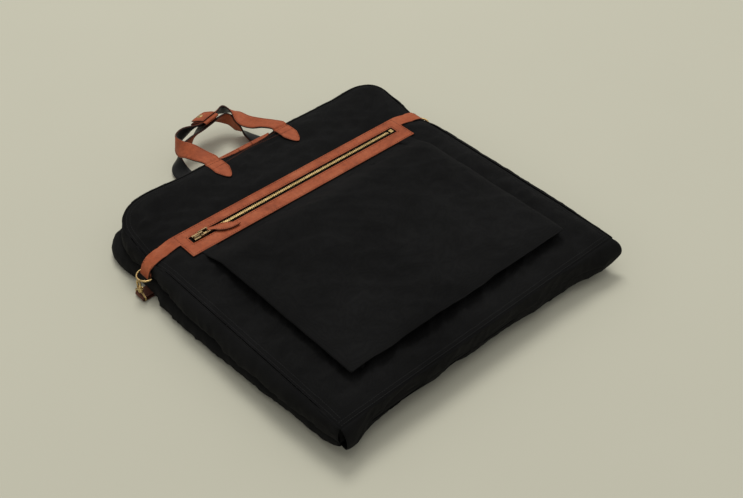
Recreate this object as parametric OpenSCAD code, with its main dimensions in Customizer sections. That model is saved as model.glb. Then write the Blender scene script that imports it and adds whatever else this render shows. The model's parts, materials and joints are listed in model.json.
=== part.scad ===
// Folding garment bag: two hollow canvas halves joined by a fold band, a bellows pocket,
// a leather zip frame with strap ends, two leather handles and two trigger snap hooks.
// The bag lies folded on its back half. Origin: middle of the underside. +X runs across
// the bag, +Y runs from the fold to the handles, +Z is up.

/* [Bag] */
// Width of the panels
bag_w = 580; // [560:10:620]
// Length of one half, from the fold to the top edge
half_l = 585; // [570:5:620]
// Thickness of one half
half_t = 34; // [34:1:40]
// Gap between the folded halves
half_gap = 2; // [2:0.5:3]
// Radius of the shoulders
shoulder_r = 50; // [40:5:70]
// How far the side walls bulge past the panels
bulge = 7; // [5:1:7]
// Thickness of the canvas with its padding
canvas_t = 3; // [2.5:0.5:3]

/* [Strap and zip frame] */
// Width of the leather strap
strap_w = 25; // [20:1:25]
// Thickness of the leather
leather_t = 3; // [2.5:0.5:3]
// Distance from the top edge to the middle of the strap
strap_drop = 129.5; // [120:0.5:140]
// Width of the leather zip frame
frame_w = 481; // [460:1:500]
// Height of the leather zip frame
frame_h = 60; // [58:1:64]
// Length of the zip slot
slot_l = 444; // [430:1:450]
// Width of the zip slot
slot_w = 16; // [16:0.5:18]

/* [Pocket] */
// Width of the pocket
pocket_w = 454; // [420:2:460]
// Length of the pocket, below the zip frame
pocket_l = 355; // [300:5:380]
// How high the pocket's front stands above the panel
pocket_h = 17; // [15:1:20]
// How far the bellows sit in from the pocket's edge
bellows_inset = 18; // [12:1:24]

/* [Handles] */
// Distance between the two legs of a handle
handle_gap = 150; // [150:1:150]
// Width of the handle strap
handle_w = 30; // [26:1:30]
// Length of the sewn tab at the end of each leg
tab_l = 54; // [45:1:60]

/* [Hardware] */
// Radius of the D-ring's wire
ring_wire_r = 1.6; // [1.4:0.1:1.6]
// Radius of the D-ring's bow
ring_r = 15; // [15:0.1:15.2]
// Width of the hook tab on the back half
tab_w = 22; // [18:1:22]
// Pitch of the brass zip teeth
tooth_pitch = 3.6; // [3.6:0.1:4.4]

/* [Hidden] */
$fn = 48;

total_t = 2 * half_t + half_gap;
top_y = half_l / 2;
fold_y = -half_l / 2;
wall_t = 2.4;
wall_h = half_t / 2 - canvas_t;
wall_r = (wall_h * wall_h + bulge * bulge) / (2 * bulge);
piping_r = 1.5;
piping_out = 1.8;
run_gap = 0.3;
lining_t = 0.8;
lining_gap = 0.1;

// Main zips, one in each inner panel
main_slot_w = 18;
main_slot_lo = fold_y + 20;
main_slot_hi = top_y - 50;
main_tape_w = 34;
main_tape_t = 1.4;
main_tape_z = half_t - canvas_t - 0.2 - main_tape_t;
coil_w = 5.2;
coil_t = 2;
coil_z = main_tape_z + main_tape_t;
main_slider_y = main_slot_hi - 16;
main_slider_top = half_t + 0.5;

// Strap, zip frame and pocket
strap_y = top_y - strap_drop;
frame_top = strap_y + strap_w / 2;
frame_low = frame_top - frame_h;
stay_t = 3;
frame_z = total_t + stay_t;
slot_y = strap_y - 14.5;
pocket_x = 3;
pocket_top = frame_low - 0.4;
pocket_r = 14;
bellows_t = 2;
tape_t = 1.2;
tape_w = 28;
chain_z = frame_z + 0.6;
chain_x0 = -slot_l / 2 + 26;
chain_n = floor((slot_l - 38) / tooth_pitch);

// Pocket slider
slider_x = -slot_l / 2 + 14;
slider_l = 18;
slider_top = frame_z + 5;
link_x = slider_x + 5;
link_z = slider_top + 1.7;
link_l = 15;
link_w = 9;
link_r = 0.9;
leaf_l = 50;
leaf_w = 17;
leaf_t = 2.4;
leaf_turn = -24;

// Strap ends, rings and hooks
side_x = bag_w / 2;
ring_x = side_x + 13;
ring_z = total_t / 2 + 7;
loop_r = 4.2;
hook_x = ring_x + ring_r;
eye_z = 5.2;
eye_r = 1.3;
eye_half = 13;
hook_side = 4.8;
hook_wire_r = 1.7;

// Handles: each station is a point on the strap's middle line and the way its width points
handle_t = 2.2;
handle_lining_t = 1.1;
strap_lo = -1.8;
strap_hi = strap_lo + handle_t;
leg_y = top_y + 4.5;
leg_z = total_t + 2.6;
leg_x = handle_gap / 2;
front_stations = [
    [[-leg_x, leg_y, leg_z], [1, 0, 0]],
    [[-79, 318, leg_z + 1.4], [1, 0, 0.15]],
    [[-84, 345, 72], [0.85, 0, 0.5]],
    [[-86, 372, 64], [0.5, 0, 0.85]],
    [[-76, 402, 56], [0.1, -0.05, 1]],
    [[-52, 418, 53], [0, -0.2, 1]],
    [[-18, 421, 53], [0.15, -0.75, 0.6]],
    [[5, 427, 53], [0.235, -0.875, 0.423]],
    [[28, 433, 53], [0.15, -0.75, 0.6]],
    [[52, 431, 53], [0, -0.2, 1]],
    [[64, 408, 52], [0, 0, 1]],
    [[60, 378, 48], [-0.3, 0, 0.95]],
    [[62, 350, 55], [-0.7, 0.1, 0.7]],
    [[70, 322, 69], [-0.95, 0, 0.25]],
    [[leg_x, leg_y, leg_z], [-1, 0, 0]]];
back_stations = [
    [[-leg_x, leg_y, 1.9], [-1, 0, 0]],
    [[-80, 325, 3], [-1, 0, 0]],
    [[-86, 355, 5], [-1, 0, -0.1]],
    [[-88, 384, 13], [-0.8, 0, -0.6]],
    [[-72, 404, 25], [-0.3, 0.1, -0.95]],
    [[-45, 409, 36], [0, 0.3, -0.95]],
    [[-18, 416, 43], [-0.15, 0.75, -0.6]],
    [[5, 423.5, 45.5], [-0.235, 0.875, -0.423]],
    [[28, 428, 43], [-0.15, 0.75, -0.6]],
    [[50, 420, 38], [0, 0.3, -0.95]],
    [[57, 402, 26], [0.3, 0, -0.95]],
    [[67, 384, 13], [0.8, 0, -0.6]],
    [[76, 355, 5], [1, 0, -0.1]],
    [[77, 325, 3], [1, 0, 0]],
    [[leg_x, leg_y, 1.9], [1, 0, 0]]];
steps = 4;

// Keeper on the grip of the front handle
keeper_at = [5, 427, 53];
keeper_turn = 15;
keeper_tilt = -25;
keeper_l = 36;
keeper_in_w = 33;
keeper_in_h = 6.6;
keeper_t = 2;
keeper_top = keeper_in_h / 2 + keeper_t;
stud_y = 8;

canvas = "#202022";
lining = "#3a3a3d";
leather = "#a65c3d";
dark_leather = "#5e3423";
brass = "#c9a455";
tape = "#161616";

// A profile drawn in (y, z), drawn out along X about the middle
module along_x(l) {
    translate([-l / 2, 0, 0])
        rotate([90, 0, 90])
            linear_extrude(l)
                children();
}

// A profile drawn in (x, z), drawn out along Y about the middle
module along_y(l) {
    rotate([90, 0, 0])
        linear_extrude(l, center = true)
            children();
}

// The upper half is the lower one turned over
module flip() {
    translate([0, 0, total_t])
        mirror([0, 0, 1])
            children();
}

// Both hands of a side fitting that is drawn for the left
module right_hand() {
    mirror([1, 0, 0])
        children();
}

module half_outline(inset = 0) {
    w = bag_w / 2 - inset;
    r = shoulder_r - inset;
    translate([-w, fold_y])
        square([2 * w, half_l - inset - r]);
    translate([-w + r, fold_y])
        square([2 * (w - r), half_l - inset]);
    for (side = [-1, 1])
        translate([side * (w - r), top_y - inset - r])
            circle(r);
}

// A profile drawn in (out, z), swept up one side, over the shoulders and down the other side
module perimeter() {
    r = shoulder_r;
    for (hand = [0, 1])
        mirror([hand, 0, 0]) {
            translate([side_x, top_y - r, 0])
                rotate([90, 0, 0])
                    linear_extrude(half_l - r)
                        children();
            translate([side_x - r, top_y - r, 0])
                rotate_extrude(angle = 90, $fn = 72)
                    translate([r, 0])
                        children();
        }
    translate([-side_x + r, top_y, 0])
        rotate([90, 0, 90])
            linear_extrude(2 * (side_x - r))
                children();
}

module wall_profile() {
    translate([bulge - wall_r, half_t / 2])
        intersection() {
            difference() {
                circle(wall_r);
                circle(wall_r - wall_t);
            }
            translate([wall_r - bulge - 2 * wall_t, -wall_h])
                square([bulge + 2 * wall_t, 2 * wall_h]);
        }
}

module panel(z, t, inset = 0) {
    translate([0, 0, z])
        linear_extrude(t)
            half_outline(inset);
}

module inner_panel() {
    difference() {
        panel(half_t - canvas_t, canvas_t);
        translate([-main_slot_w / 2, main_slot_lo, half_t - canvas_t - 1])
            cube([main_slot_w, main_slot_hi - main_slot_lo, canvas_t + 2]);
    }
}

module inner_lining() {
    translate([0, 0, canvas_t + lining_gap])
        linear_extrude(lining_t)
            half_outline(6);
}

module piping() {
    perimeter()
        translate([piping_out, piping_r + 0.1])
            circle(piping_r);
}

module main_tape() {
    translate([-main_tape_w / 2, main_slot_lo - 6, main_tape_z])
        cube([main_tape_w, main_slot_hi - main_slot_lo + 12, main_tape_t]);
}

module main_coil() {
    translate([-coil_w / 2, main_slot_lo + 4, coil_z])
        cube([coil_w, main_slot_hi - main_slot_lo - 8, coil_t]);
}

// Top plate with a flange down each side of the coil
module main_slider() {
    body_w = 12;
    body_l = 16;
    flange = 1.8;
    plate_z = main_slider_top - 1.4;
    translate([0, main_slider_y, 0]) {
        translate([-body_w / 2, -body_l / 2, plate_z])
            cube([body_w, body_l, 1.4]);
        for (side = [-1, 1])
            translate([side * (body_w - flange) / 2 - flange / 2, -body_l / 2, coil_z + 0.4])
                cube([flange, body_l, plate_z - coil_z - 0.4]);
    }
}

module main_pull() {
    pull_w = 8;
    pull_l = 30;
    plate_z = main_slider_top - 1.4;
    translate([0, main_slider_y - 8.2, plate_z])
        linear_extrude(1.4)
            difference() {
                union() {
                    translate([-pull_w / 2, -pull_l + pull_w / 2])
                        square([pull_w, pull_l - pull_w / 2]);
                    translate([0, -pull_l + pull_w / 2])
                        circle(pull_w / 2);
                }
                translate([0, -pull_l + pull_w / 2])
                    circle(1.8);
            }
}

// Sewn end of a handle leg, with a round tip that points at the fold
module tab_outline(grow = 0) {
    for (side = [-1, 1])
        translate([side * leg_x, 0]) {
            translate([-handle_w / 2 - grow, top_y - 1 - tab_l + handle_w / 2])
                square([handle_w + 2 * grow, tab_l - handle_w / 2 + 3 * grow]);
            translate([0, top_y - 1 - tab_l + handle_w / 2])
                circle(handle_w / 2 + grow);
        }
}

module hanger_slot() {
    translate([0, top_y, total_t - half_t / 2])
        cube([30, 60, 6], center = true);
}

module back_panel() {
    color(canvas)
        difference() {
            panel(0, canvas_t);
            translate([0, 0, -1])
                linear_extrude(canvas_t + 2)
                    tab_outline(run_gap);
        }
}

module back_gusset() {
    color(canvas)
        perimeter()
            wall_profile();
}

module back_inner_panel() {
    color(canvas)
        inner_panel();
}

module back_lining() {
    color(lining)
        inner_lining();
}

module back_piping() {
    color(canvas)
        difference() {
            piping();
            for (side = [-1, 1])
                translate([side * leg_x, leg_y, 0])
                    cube([handle_w + 3, 12, 20], center = true);
        }
}

module back_zip_tape() {
    color(tape)
        main_tape();
}

module back_zip_coil() {
    color(lining)
        main_coil();
}

module back_zip_slider() {
    color(brass)
        main_slider();
}

module back_zip_pull() {
    color(brass)
        main_pull();
}

module back_handle_tabs() {
    color(leather)
        linear_extrude(canvas_t)
            tab_outline();
}

// Two layers of leather that leave the gusset and fold round the bar of the hook's eye
module left_hook_tab() {
    color(dark_leather)
        translate([0, strap_y, 0])
            difference() {
                union() {
                    translate([-(side_x + bulge + 2), 0, eye_z])
                        cube([2 * (hook_x - side_x - bulge - 2), tab_w, 5.2], center = true);
                    translate([-hook_x, 0, eye_z])
                        rotate([90, 0, 0])
                            cylinder(r = loop_r, h = tab_w, center = true);
                }
                translate([-side_x - bulge + wall_r, 0, half_t / 2])
                    rotate([90, 0, 0])
                        cylinder(r = wall_r + 0.2, h = 40, center = true, $fn = 90);
                translate([-side_x + 5, 0, eye_z])
                    cube([17.8, 40, 30], center = true);
                translate([-hook_x, 0, eye_z])
                    rotate([90, 0, 0])
                        cylinder(r = eye_r + 0.1, h = 40, center = true);
            }
}

module right_hook_tab() {
    right_hand()
        left_hook_tab();
}

module garment_strap() {
    strap_z = half_t - 8;
    color(tape)
        translate([-side_x + 0.5, 41, strap_z])
            cube([2 * side_x - 1, 38, 1.6]);
}

module garment_strap_buckle() {
    strap_z = half_t - 8;
    color(lining)
        difference() {
            translate([60, 60, strap_z + 0.8])
                cube([34, 48, 4.6], center = true);
            translate([60, 60, strap_z + 0.8])
                cube([60, 38.6, 2.2], center = true);
            for (side = [-1, 1])
                translate([60 + side * 9, 60, strap_z])
                    cube([10, 38.6, 20], center = true);
        }
}

// A shallow arch that closes the fold end, drawn as one arc in (y, z)
module fold_band() {
    face_y = fold_y - run_gap;
    rise = 9;
    t = 2.4;
    h = total_t / 2 - canvas_t - 0.4;
    r = (h * h + rise * rise) / (2 * rise);
    color(canvas)
        along_x(bag_w)
            intersection() {
                translate([face_y + r - rise, total_t / 2])
                    difference() {
                        circle(r + t, $fn = 120);
                        circle(r, $fn = 120);
                    }
                translate([face_y - 2 * rise, total_t / 2 - h])
                    square([2 * rise, 2 * h]);
            }
}

module front_panel() {
    color(canvas)
        flip()
            panel(0, canvas_t);
}

module front_gusset() {
    color(canvas)
        difference() {
            flip()
                perimeter()
                    wall_profile();
            hanger_slot();
        }
}

module front_inner_panel() {
    color(canvas)
        flip()
            inner_panel();
}

module front_lining() {
    color(lining)
        flip()
            inner_lining();
}

module front_piping() {
    color(canvas)
        flip()
            piping();
}

module front_zip_tape() {
    color(tape)
        flip()
            main_tape();
}

module front_zip_coil() {
    color(lining)
        flip()
            main_coil();
}

module front_zip_slider() {
    color(brass)
        flip()
            main_slider();
}

module front_zip_pull() {
    color(brass)
        flip()
            main_pull();
}

module front_handle_tabs() {
    color(leather)
        translate([0, 0, total_t])
            linear_extrude(leather_t + 0.4)
                tab_outline();
}

// Leather plate that follows the top wall, with a slot for the hanger's hook
module hanger_port_patch() {
    patch_l = 118;
    patch_h = 22;
    color(leather)
        difference() {
            intersection() {
                along_x(patch_l)
                    translate([top_y + bulge - wall_r, total_t - half_t / 2])
                        difference() {
                            circle(wall_r + 2.4, $fn = 90);
                            circle(wall_r + 0.2, $fn = 90);
                        }
                translate([0, top_y + 20, total_t - half_t / 2])
                    along_y(40) {
                        square([patch_l - patch_h, patch_h], center = true);
                        for (side = [-1, 1])
                            translate([side * (patch_l - patch_h) / 2, 0])
                                circle(patch_h / 2);
                    }
            }
            hanger_slot();
        }
}

// Canvas stay that holds the frame off the panel above and beside the slot
module zip_stay() {
    color(canvas)
        difference() {
            translate([-frame_w / 2 + 1, slot_y - slot_w / 2, total_t])
                cube([frame_w - 2, frame_top - slot_y + slot_w / 2 - 1, stay_t - 1.4]);
            translate([-slot_l / 2 - 2, slot_y - slot_w, total_t - 1])
                cube([slot_l + 4, slot_w * 1.5 + 2, stay_t + 2]);
        }
}

// Side view of the strap: over the stay, down to the panel, over the edge to the ring
module strap_side() {
    drop_x = side_x - 22;
    edge_x = side_x + 4.5;
    low_x = side_x + 11.5;
    t = leather_t;
    polygon([
        [-frame_w / 2 + 1, frame_z], [-frame_w / 2 - 6, frame_z], [-drop_x, total_t + 0.8],
        [-edge_x, total_t + 1], [-low_x, ring_z + 2], [-low_x - t, ring_z + 2],
        [-edge_x - t * 0.9, total_t + 1 + t * 0.8], [-edge_x + 1, total_t + 1 + t],
        [-drop_x, total_t + 0.8 + t], [-frame_w / 2 - 6, frame_z + t],
        [-frame_w / 2 + 1, frame_z + t]]);
}

module strap_end() {
    difference() {
        translate([0, strap_y, 0])
            along_y(strap_w)
                strap_side();
        ring_bore();
    }
    difference() {
        translate([-ring_x, strap_y, ring_z])
            rotate([90, 0, 0])
                cylinder(r = loop_r, h = strap_w, center = true);
        ring_bore();
    }
}

module ring_bore() {
    translate([-ring_x, strap_y, ring_z])
        rotate([90, 0, 0])
            cylinder(r = ring_wire_r + 0.1, h = 60, center = true);
}

// One piece of leather: the frame round the zip slot, and a strap end on each side
module zip_frame() {
    color(leather) {
        translate([0, 0, frame_z])
            linear_extrude(leather_t)
                difference() {
                    translate([-frame_w / 2, frame_low])
                        square([frame_w, frame_h]);
                    translate([-slot_l / 2, slot_y - slot_w / 2])
                        square([slot_l, slot_w]);
                }
        for (hand = [0, 1])
            mirror([hand, 0, 0])
                strap_end();
    }
}

module pocket_zip_tape() {
    color(tape)
        for (side = [-1, 1])
            translate([-slot_l / 2 - 6, slot_y - tape_w / 4 + side * (tape_w / 4 + 0.8), frame_z - tape_t])
                cube([slot_l + 12, tape_w / 2, tape_t - 0.2]);
}

// One row of teeth; the other row is turned over and moved on by half a pitch
module tooth_row() {
    for (i = [0 : chain_n - 1])
        translate([chain_x0 + i * tooth_pitch, -1.4, chain_z - 0.5])
            cube([1.6, 4.4, 2.8]);
}

module pocket_teeth_upper() {
    color(brass)
        translate([0, slot_y, 0])
            tooth_row();
}

module pocket_teeth_lower() {
    color(brass)
        translate([tooth_pitch / 2, slot_y, 0])
            mirror([0, 1, 0])
                tooth_row();
}

module pocket_zip_stop() {
    color(brass)
        translate([slot_l / 2 - 11, slot_y - 4, chain_z - 0.5])
            cube([7, 8, 3]);
}

// Front sheet of the pocket, seen from the side: it leaves the frame and rises to its full height
module pocket_front() {
    rise_l = 26;
    low_z = total_t + 1.2;
    high_z = total_t + pocket_h;
    t = canvas_t - 1;
    color(canvas)
        intersection() {
            translate([pocket_x, 0, 0])
                along_x(pocket_w)
                    polygon([
                        [frame_low + 8, low_z], [frame_low + 8, low_z + 1.4],
                        [pocket_top, low_z + 1.4], [pocket_top - rise_l, high_z],
                        [pocket_top - pocket_l, high_z], [pocket_top - pocket_l, high_z - t],
                        [pocket_top - rise_l - 1, high_z - t], [pocket_top - 2, low_z]]);
            translate([pocket_x - pocket_w / 2, pocket_top - pocket_l, 0])
                linear_extrude(2 * total_t)
                    corner_rounded(pocket_w, pocket_l + 20, pocket_r);
        }
}

// A rectangle from the origin with its two lower corners rounded
module corner_rounded(w, l, r) {
    translate([0, r])
        square([w, l - r]);
    translate([r, 0])
        square([w - 2 * r, r + 1]);
    for (x = [r, w - r])
        translate([x, r])
            circle(r);
}

// Side walls of the pocket, set in from the edge of its front
module pocket_bellows() {
    w = pocket_w - 2 * bellows_inset;
    l = pocket_l - bellows_inset - 30;
    color(canvas)
        translate([pocket_x - w / 2, pocket_top - pocket_l + bellows_inset, total_t])
            linear_extrude(pocket_h - canvas_t + 1)
                difference() {
                    corner_rounded(w, l, pocket_r);
                    translate([bellows_t, bellows_t])
                        corner_rounded(w - 2 * bellows_t, l + 10, pocket_r - bellows_t);
                }
}

// Top shell of the slider: a plate, a flange on each side and a bridge for the pull
module pocket_slider() {
    plate_w = 12;
    flange = 1.8;
    plate_z = chain_z + 2.6;
    color(brass)
        translate([slider_x, slot_y, 0]) {
            translate([-slider_l / 2, -plate_w / 2, plate_z])
                cube([slider_l, plate_w, slider_top - plate_z]);
            for (side = [-1, 1])
                translate([-slider_l / 2, side * (plate_w - flange) / 2 - flange / 2, frame_z + 0.2])
                    cube([slider_l, flange, plate_z - frame_z - 0.2]);
            for (x = [-slider_l / 2, slider_l / 2 - 1.8])
                translate([x, -1.2, slider_top])
                    cube([1.8, 2.4, 3]);
            translate([-slider_l / 2, -1.2, slider_top + 3])
                cube([slider_l, 2.4, 1.2]);
        }
}

// Frame that turns under the slider's bridge: two round bars and two flat arms
module pocket_pull_link() {
    arm_t = 1.6;
    color(brass)
        translate([link_x, slot_y, link_z]) {
            for (x = [0, link_l])
                translate([x, 0, 0])
                    rotate([90, 0, 0])
                        cylinder(r = link_r, h = link_w + arm_t, center = true);
            for (side = [-1, 1])
                translate([link_l / 2, side * (link_w + arm_t) / 2, 0])
                    cube([link_l + 2.6, arm_t, 1.4], center = true);
        }
}

// Leaf of leather, folded round the end of the link, pointed towards its tip
module pocket_pull_leaf() {
    bow_r = (leaf_l * leaf_l / 4 + leaf_w * leaf_w / 4) / leaf_w;
    color(leather)
        translate([link_x + link_l, slot_y, link_z])
            difference() {
                union() {
                    rotate([90, 0, 0])
                        cylinder(r = link_r + 1.2, h = link_w - 1, center = true);
                    rotate([0, 0, leaf_turn])
                        translate([1, 0, -leaf_t / 2])
                            linear_extrude(leaf_t) {
                                translate([leaf_l / 2 + 2, 0])
                                    intersection_for(side = [-1, 1])
                                        translate([0, side * (bow_r - leaf_w / 2)])
                                            circle(bow_r, $fn = 120);
                                translate([0.6, -3.4])
                                    square([12, 6.8]);
                            }
                }
                rotate([90, 0, 0])
                    cylinder(r = link_r + 0.1, h = 40, center = true);
            }
}

// Point and frame along a strap whose middle line passes through its stations
function unit(v) = v / norm(v);
function curve(a, b, c, d, t) =
    0.5 * (2 * b + (c - a) * t + (2 * a - 5 * b + 4 * c - d) * t * t
        + (3 * b - a - 3 * c + d) * t * t * t);
function slope(a, b, c, d, t) =
    0.5 * (c - a + 2 * (2 * a - 5 * b + 4 * c - d) * t + 3 * (3 * b - a - 3 * c + d) * t * t);
function pick(list, i, k) = list[max(0, min(len(list) - 1, i))][k];
function at(list, i, k, t) =
    curve(pick(list, i - 1, k), pick(list, i, k), pick(list, i + 1, k), pick(list, i + 2, k), t);
function way(list, i, t) =
    unit(slope(pick(list, i - 1, 0), pick(list, i, 0), pick(list, i + 1, 0),
        pick(list, i + 2, 0), t));
function ring(list, i, t, w, lo, hi) =
    let (
        p = at(list, i, 0, t),
        along = way(list, i, t),
        raw = at(list, i, 1, t),
        across = unit(raw - (raw * along) * along),
        inward = cross(along, across))
    [for (c = [[-1, lo], [1, lo], [1, hi], [-1, hi]])
        p + c[0] * w / 2 * across + c[1] * inward];

// A flat strap swept through its stations, from depth lo to depth hi on its inner side
module strap_sweep(stations, w, lo, hi) {
    n = (len(stations) - 1) * steps;
    rings = [
        for (k = [0 : n])
            let (i = min(floor(k / steps), len(stations) - 2))
                ring(stations, i, k / steps - i, w, lo, hi)];
    points = [for (r = rings) each r];
    // The two broad faces are cut along the same diagonal, so that two straps lie on each other
    sides = [
        for (k = [0 : n - 1], j = [0 : 3])
            let (a = 4 * k + j, b = 4 * k + (j + 1) % 4)
                each j == 0 ? [[a, a + 4, b + 4], [a, b + 4, b]] : [[a, a + 4, b], [b, a + 4, b + 4]]];
    ends = [[0, 1, 2], [0, 2, 3], [4 * n + 2, 4 * n + 1, 4 * n], [4 * n + 3, 4 * n + 2, 4 * n]];
    polyhedron(points, concat(sides, ends));
}

module front_handle_strap() {
    color(leather)
        strap_sweep(front_stations, handle_w, strap_lo, strap_hi);
}

module front_handle_lining() {
    color(tape)
        strap_sweep(front_stations, handle_w - 0.4, strap_hi + 0.2, strap_hi + 0.2 + handle_lining_t);
}

module back_handle_strap() {
    color(leather)
        strap_sweep(back_stations, handle_w, strap_lo, strap_hi);
}

module back_handle_lining() {
    color(tape)
        strap_sweep(back_stations, handle_w - 0.4, strap_hi + 0.2, strap_hi + 0.2 + handle_lining_t);
}

module keeper_frame() {
    translate(keeper_at)
        rotate([0, 0, keeper_turn])
            rotate([keeper_tilt, 0, 0])
                children();
}

// A stadium in (y, z): a flat sleeve's outline
module sleeve_outline(w, h) {
    square([w - h, h], center = true);
    for (side = [-1, 1])
        translate([side * (w - h) / 2, 0])
            circle(h / 2);
}

module keeper_wrap() {
    color(leather)
        keeper_frame()
            along_x(keeper_l)
                difference() {
                    sleeve_outline(keeper_in_w + 7 + 2 * keeper_t, keeper_in_h + 2 * keeper_t);
                    sleeve_outline(keeper_in_w + 5, keeper_in_h);
                }
}

module keeper_stud() {
    color(brass)
        keeper_frame()
            translate([0, stud_y, keeper_top])
                cylinder(r = 2.6, h = 1.2);
}

// Flap that snaps over the stud, with its outer corners cut off
module keeper_flap() {
    color(leather)
        keeper_frame()
            translate([0, 0, keeper_top + run_gap])
                linear_extrude(2.2)
                    difference() {
                        polygon([
                            [-keeper_l / 2 + 1, -14], [keeper_l / 2 - 1, -14],
                            [keeper_l / 2 - 1, 14], [keeper_l / 2 - 6, 20],
                            [-keeper_l / 2 + 6, 20], [-keeper_l / 2 + 1, 14]]);
                        translate([0, stud_y])
                            circle(3);
                    }
}

module keeper_cap() {
    color(brass)
        keeper_frame()
            translate([0, stud_y, keeper_top + run_gap + 2.2])
                intersection() {
                    cylinder(r = 6, h = 2);
                    translate([0, 0, -10])
                        sphere(r = 12, $fn = 72);
                }
}

module ring_at_rest() {
    color(brass)
        translate([-ring_x, strap_y, ring_z]) {
            rotate([90, 0, 0])
                cylinder(r = ring_wire_r, h = 2 * ring_r, center = true);
            for (side = [-1, 1])
                translate([0, side * ring_r, 0])
                    sphere(r = ring_wire_r);
            rotate([0, 0, 90])
                rotate_extrude(angle = 180, $fn = 72)
                    translate([ring_r, 0])
                        circle(ring_wire_r);
        }
}

// Eye with a round bar for the tab, flat sides and a bored boss for the hook's swivel pin
module hook_eye() {
    shoulder = 5.5;
    side_t = 2.2;
    neck = 2.6;
    boss_lo = 10.5;
    boss_hi = 14;
    color(brass)
        translate([-hook_x, strap_y, eye_z])
            difference() {
                union() {
                    rotate([90, 0, 0])
                        cylinder(r = eye_r, h = 2 * eye_half, center = true);
                    for (side = [-1, 1])
                        along_x(side_t)
                            polygon([
                                [side * (eye_half - 1.2), 0], [side * (eye_half + 1.2), 0],
                                [side * (eye_half + 1.2), shoulder + 0.7],
                                [side * neck, boss_hi - 0.5], [side * neck, boss_lo + 0.5],
                                [side * (eye_half - 1.2), shoulder - 0.5]]);
                    translate([0, 0, boss_lo])
                        cylinder(r = 3.4, h = boss_hi - boss_lo);
                }
                cylinder(r = 1.35, h = 30);
                translate([0, 0, boss_lo - 3.5])
                    cylinder(r = 2.6, h = 3.5);
            }
}

// Trigger snap hook: a swivel pin with a head, a body, a bow and a slotted tube for the bolt
module snap_hook() {
    bow_z = 28;
    color(brass)
        translate([-hook_x, strap_y, eye_z])
            difference() {
                union() {
                    translate([0, 0, 8.2])
                        cylinder(r = 2.2, h = 1.6);
                    translate([0, 0, 8.2])
                        cylinder(r = 1.25, h = 8);
                    translate([0, 0, 14.4])
                        cylinder(r = 3.4, h = 4);
                    translate([-2.4, -hook_side, 15.6])
                        cube([4.8, 2 * hook_side, 3.4]);
                    translate([0, -hook_side, 14.4])
                        cylinder(r = 2.8, h = 7.4);
                    translate([0, hook_side, 15.6])
                        cylinder(r = hook_wire_r, h = bow_z - 15.6);
                    translate([0, -hook_side, bow_z - 1.6])
                        cylinder(r = hook_wire_r, h = 1.6);
                    translate([0, 0, bow_z])
                        rotate([90, 0, 90])
                            rotate_extrude(angle = 180)
                                translate([hook_side, 0])
                                    circle(hook_wire_r);
                }
                translate([0, -hook_side, 13])
                    cylinder(r = 1.45, h = 10);
                translate([-1.1, -hook_side - 5, 15])
                    cube([2.2, 5, 10]);
            }
}

// Spring bolt with a thumb nib; it slides down into the hook's tube
module hook_bolt() {
    color(brass)
        translate([-hook_x, strap_y - hook_side, eye_z]) {
            translate([0, 0, 19.2])
                cylinder(r = 1.35, h = 7);
            translate([0, 0, 20.4])
                rotate([90, 0, 0])
                    cylinder(r = 0.9, h = 5);
        }
}

module left_ring() {
    ring_at_rest();
}

module right_ring() {
    right_hand()
        ring_at_rest();
}

module left_hook_eye() {
    hook_eye();
}

module right_hook_eye() {
    right_hand()
        hook_eye();
}

module left_hook() {
    snap_hook();
}

module right_hook() {
    right_hand()
        snap_hook();
}

module left_hook_bolt() {
    hook_bolt();
}

module right_hook_bolt() {
    right_hand()
        hook_bolt();
}

back_panel();
back_gusset();
back_inner_panel();
back_lining();
back_piping();
back_zip_tape();
back_zip_coil();
back_handle_tabs();
left_hook_tab();
right_hook_tab();
garment_strap();
garment_strap_buckle();
back_zip_slider();
back_zip_pull();
fold_band();
front_panel();
front_gusset();
front_inner_panel();
front_lining();
front_piping();
front_zip_tape();
front_zip_coil();
front_handle_tabs();
hanger_port_patch();
front_zip_slider();
front_zip_pull();
zip_stay();
zip_frame();
pocket_zip_tape();
pocket_teeth_upper();
pocket_teeth_lower();
pocket_zip_stop();
pocket_front();
pocket_bellows();
pocket_slider();
pocket_pull_link();
pocket_pull_leaf();
front_handle_strap();
front_handle_lining();
keeper_wrap();
keeper_stud();
keeper_flap();
keeper_cap();
back_handle_strap();
back_handle_lining();
left_ring();
right_ring();
left_hook_eye();
right_hook_eye();
left_hook();
right_hook();
left_hook_bolt();
right_hook_bolt();
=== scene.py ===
import json
import math

import bpy
import numpy as np
from mathutils import Matrix, Vector, noise

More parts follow.
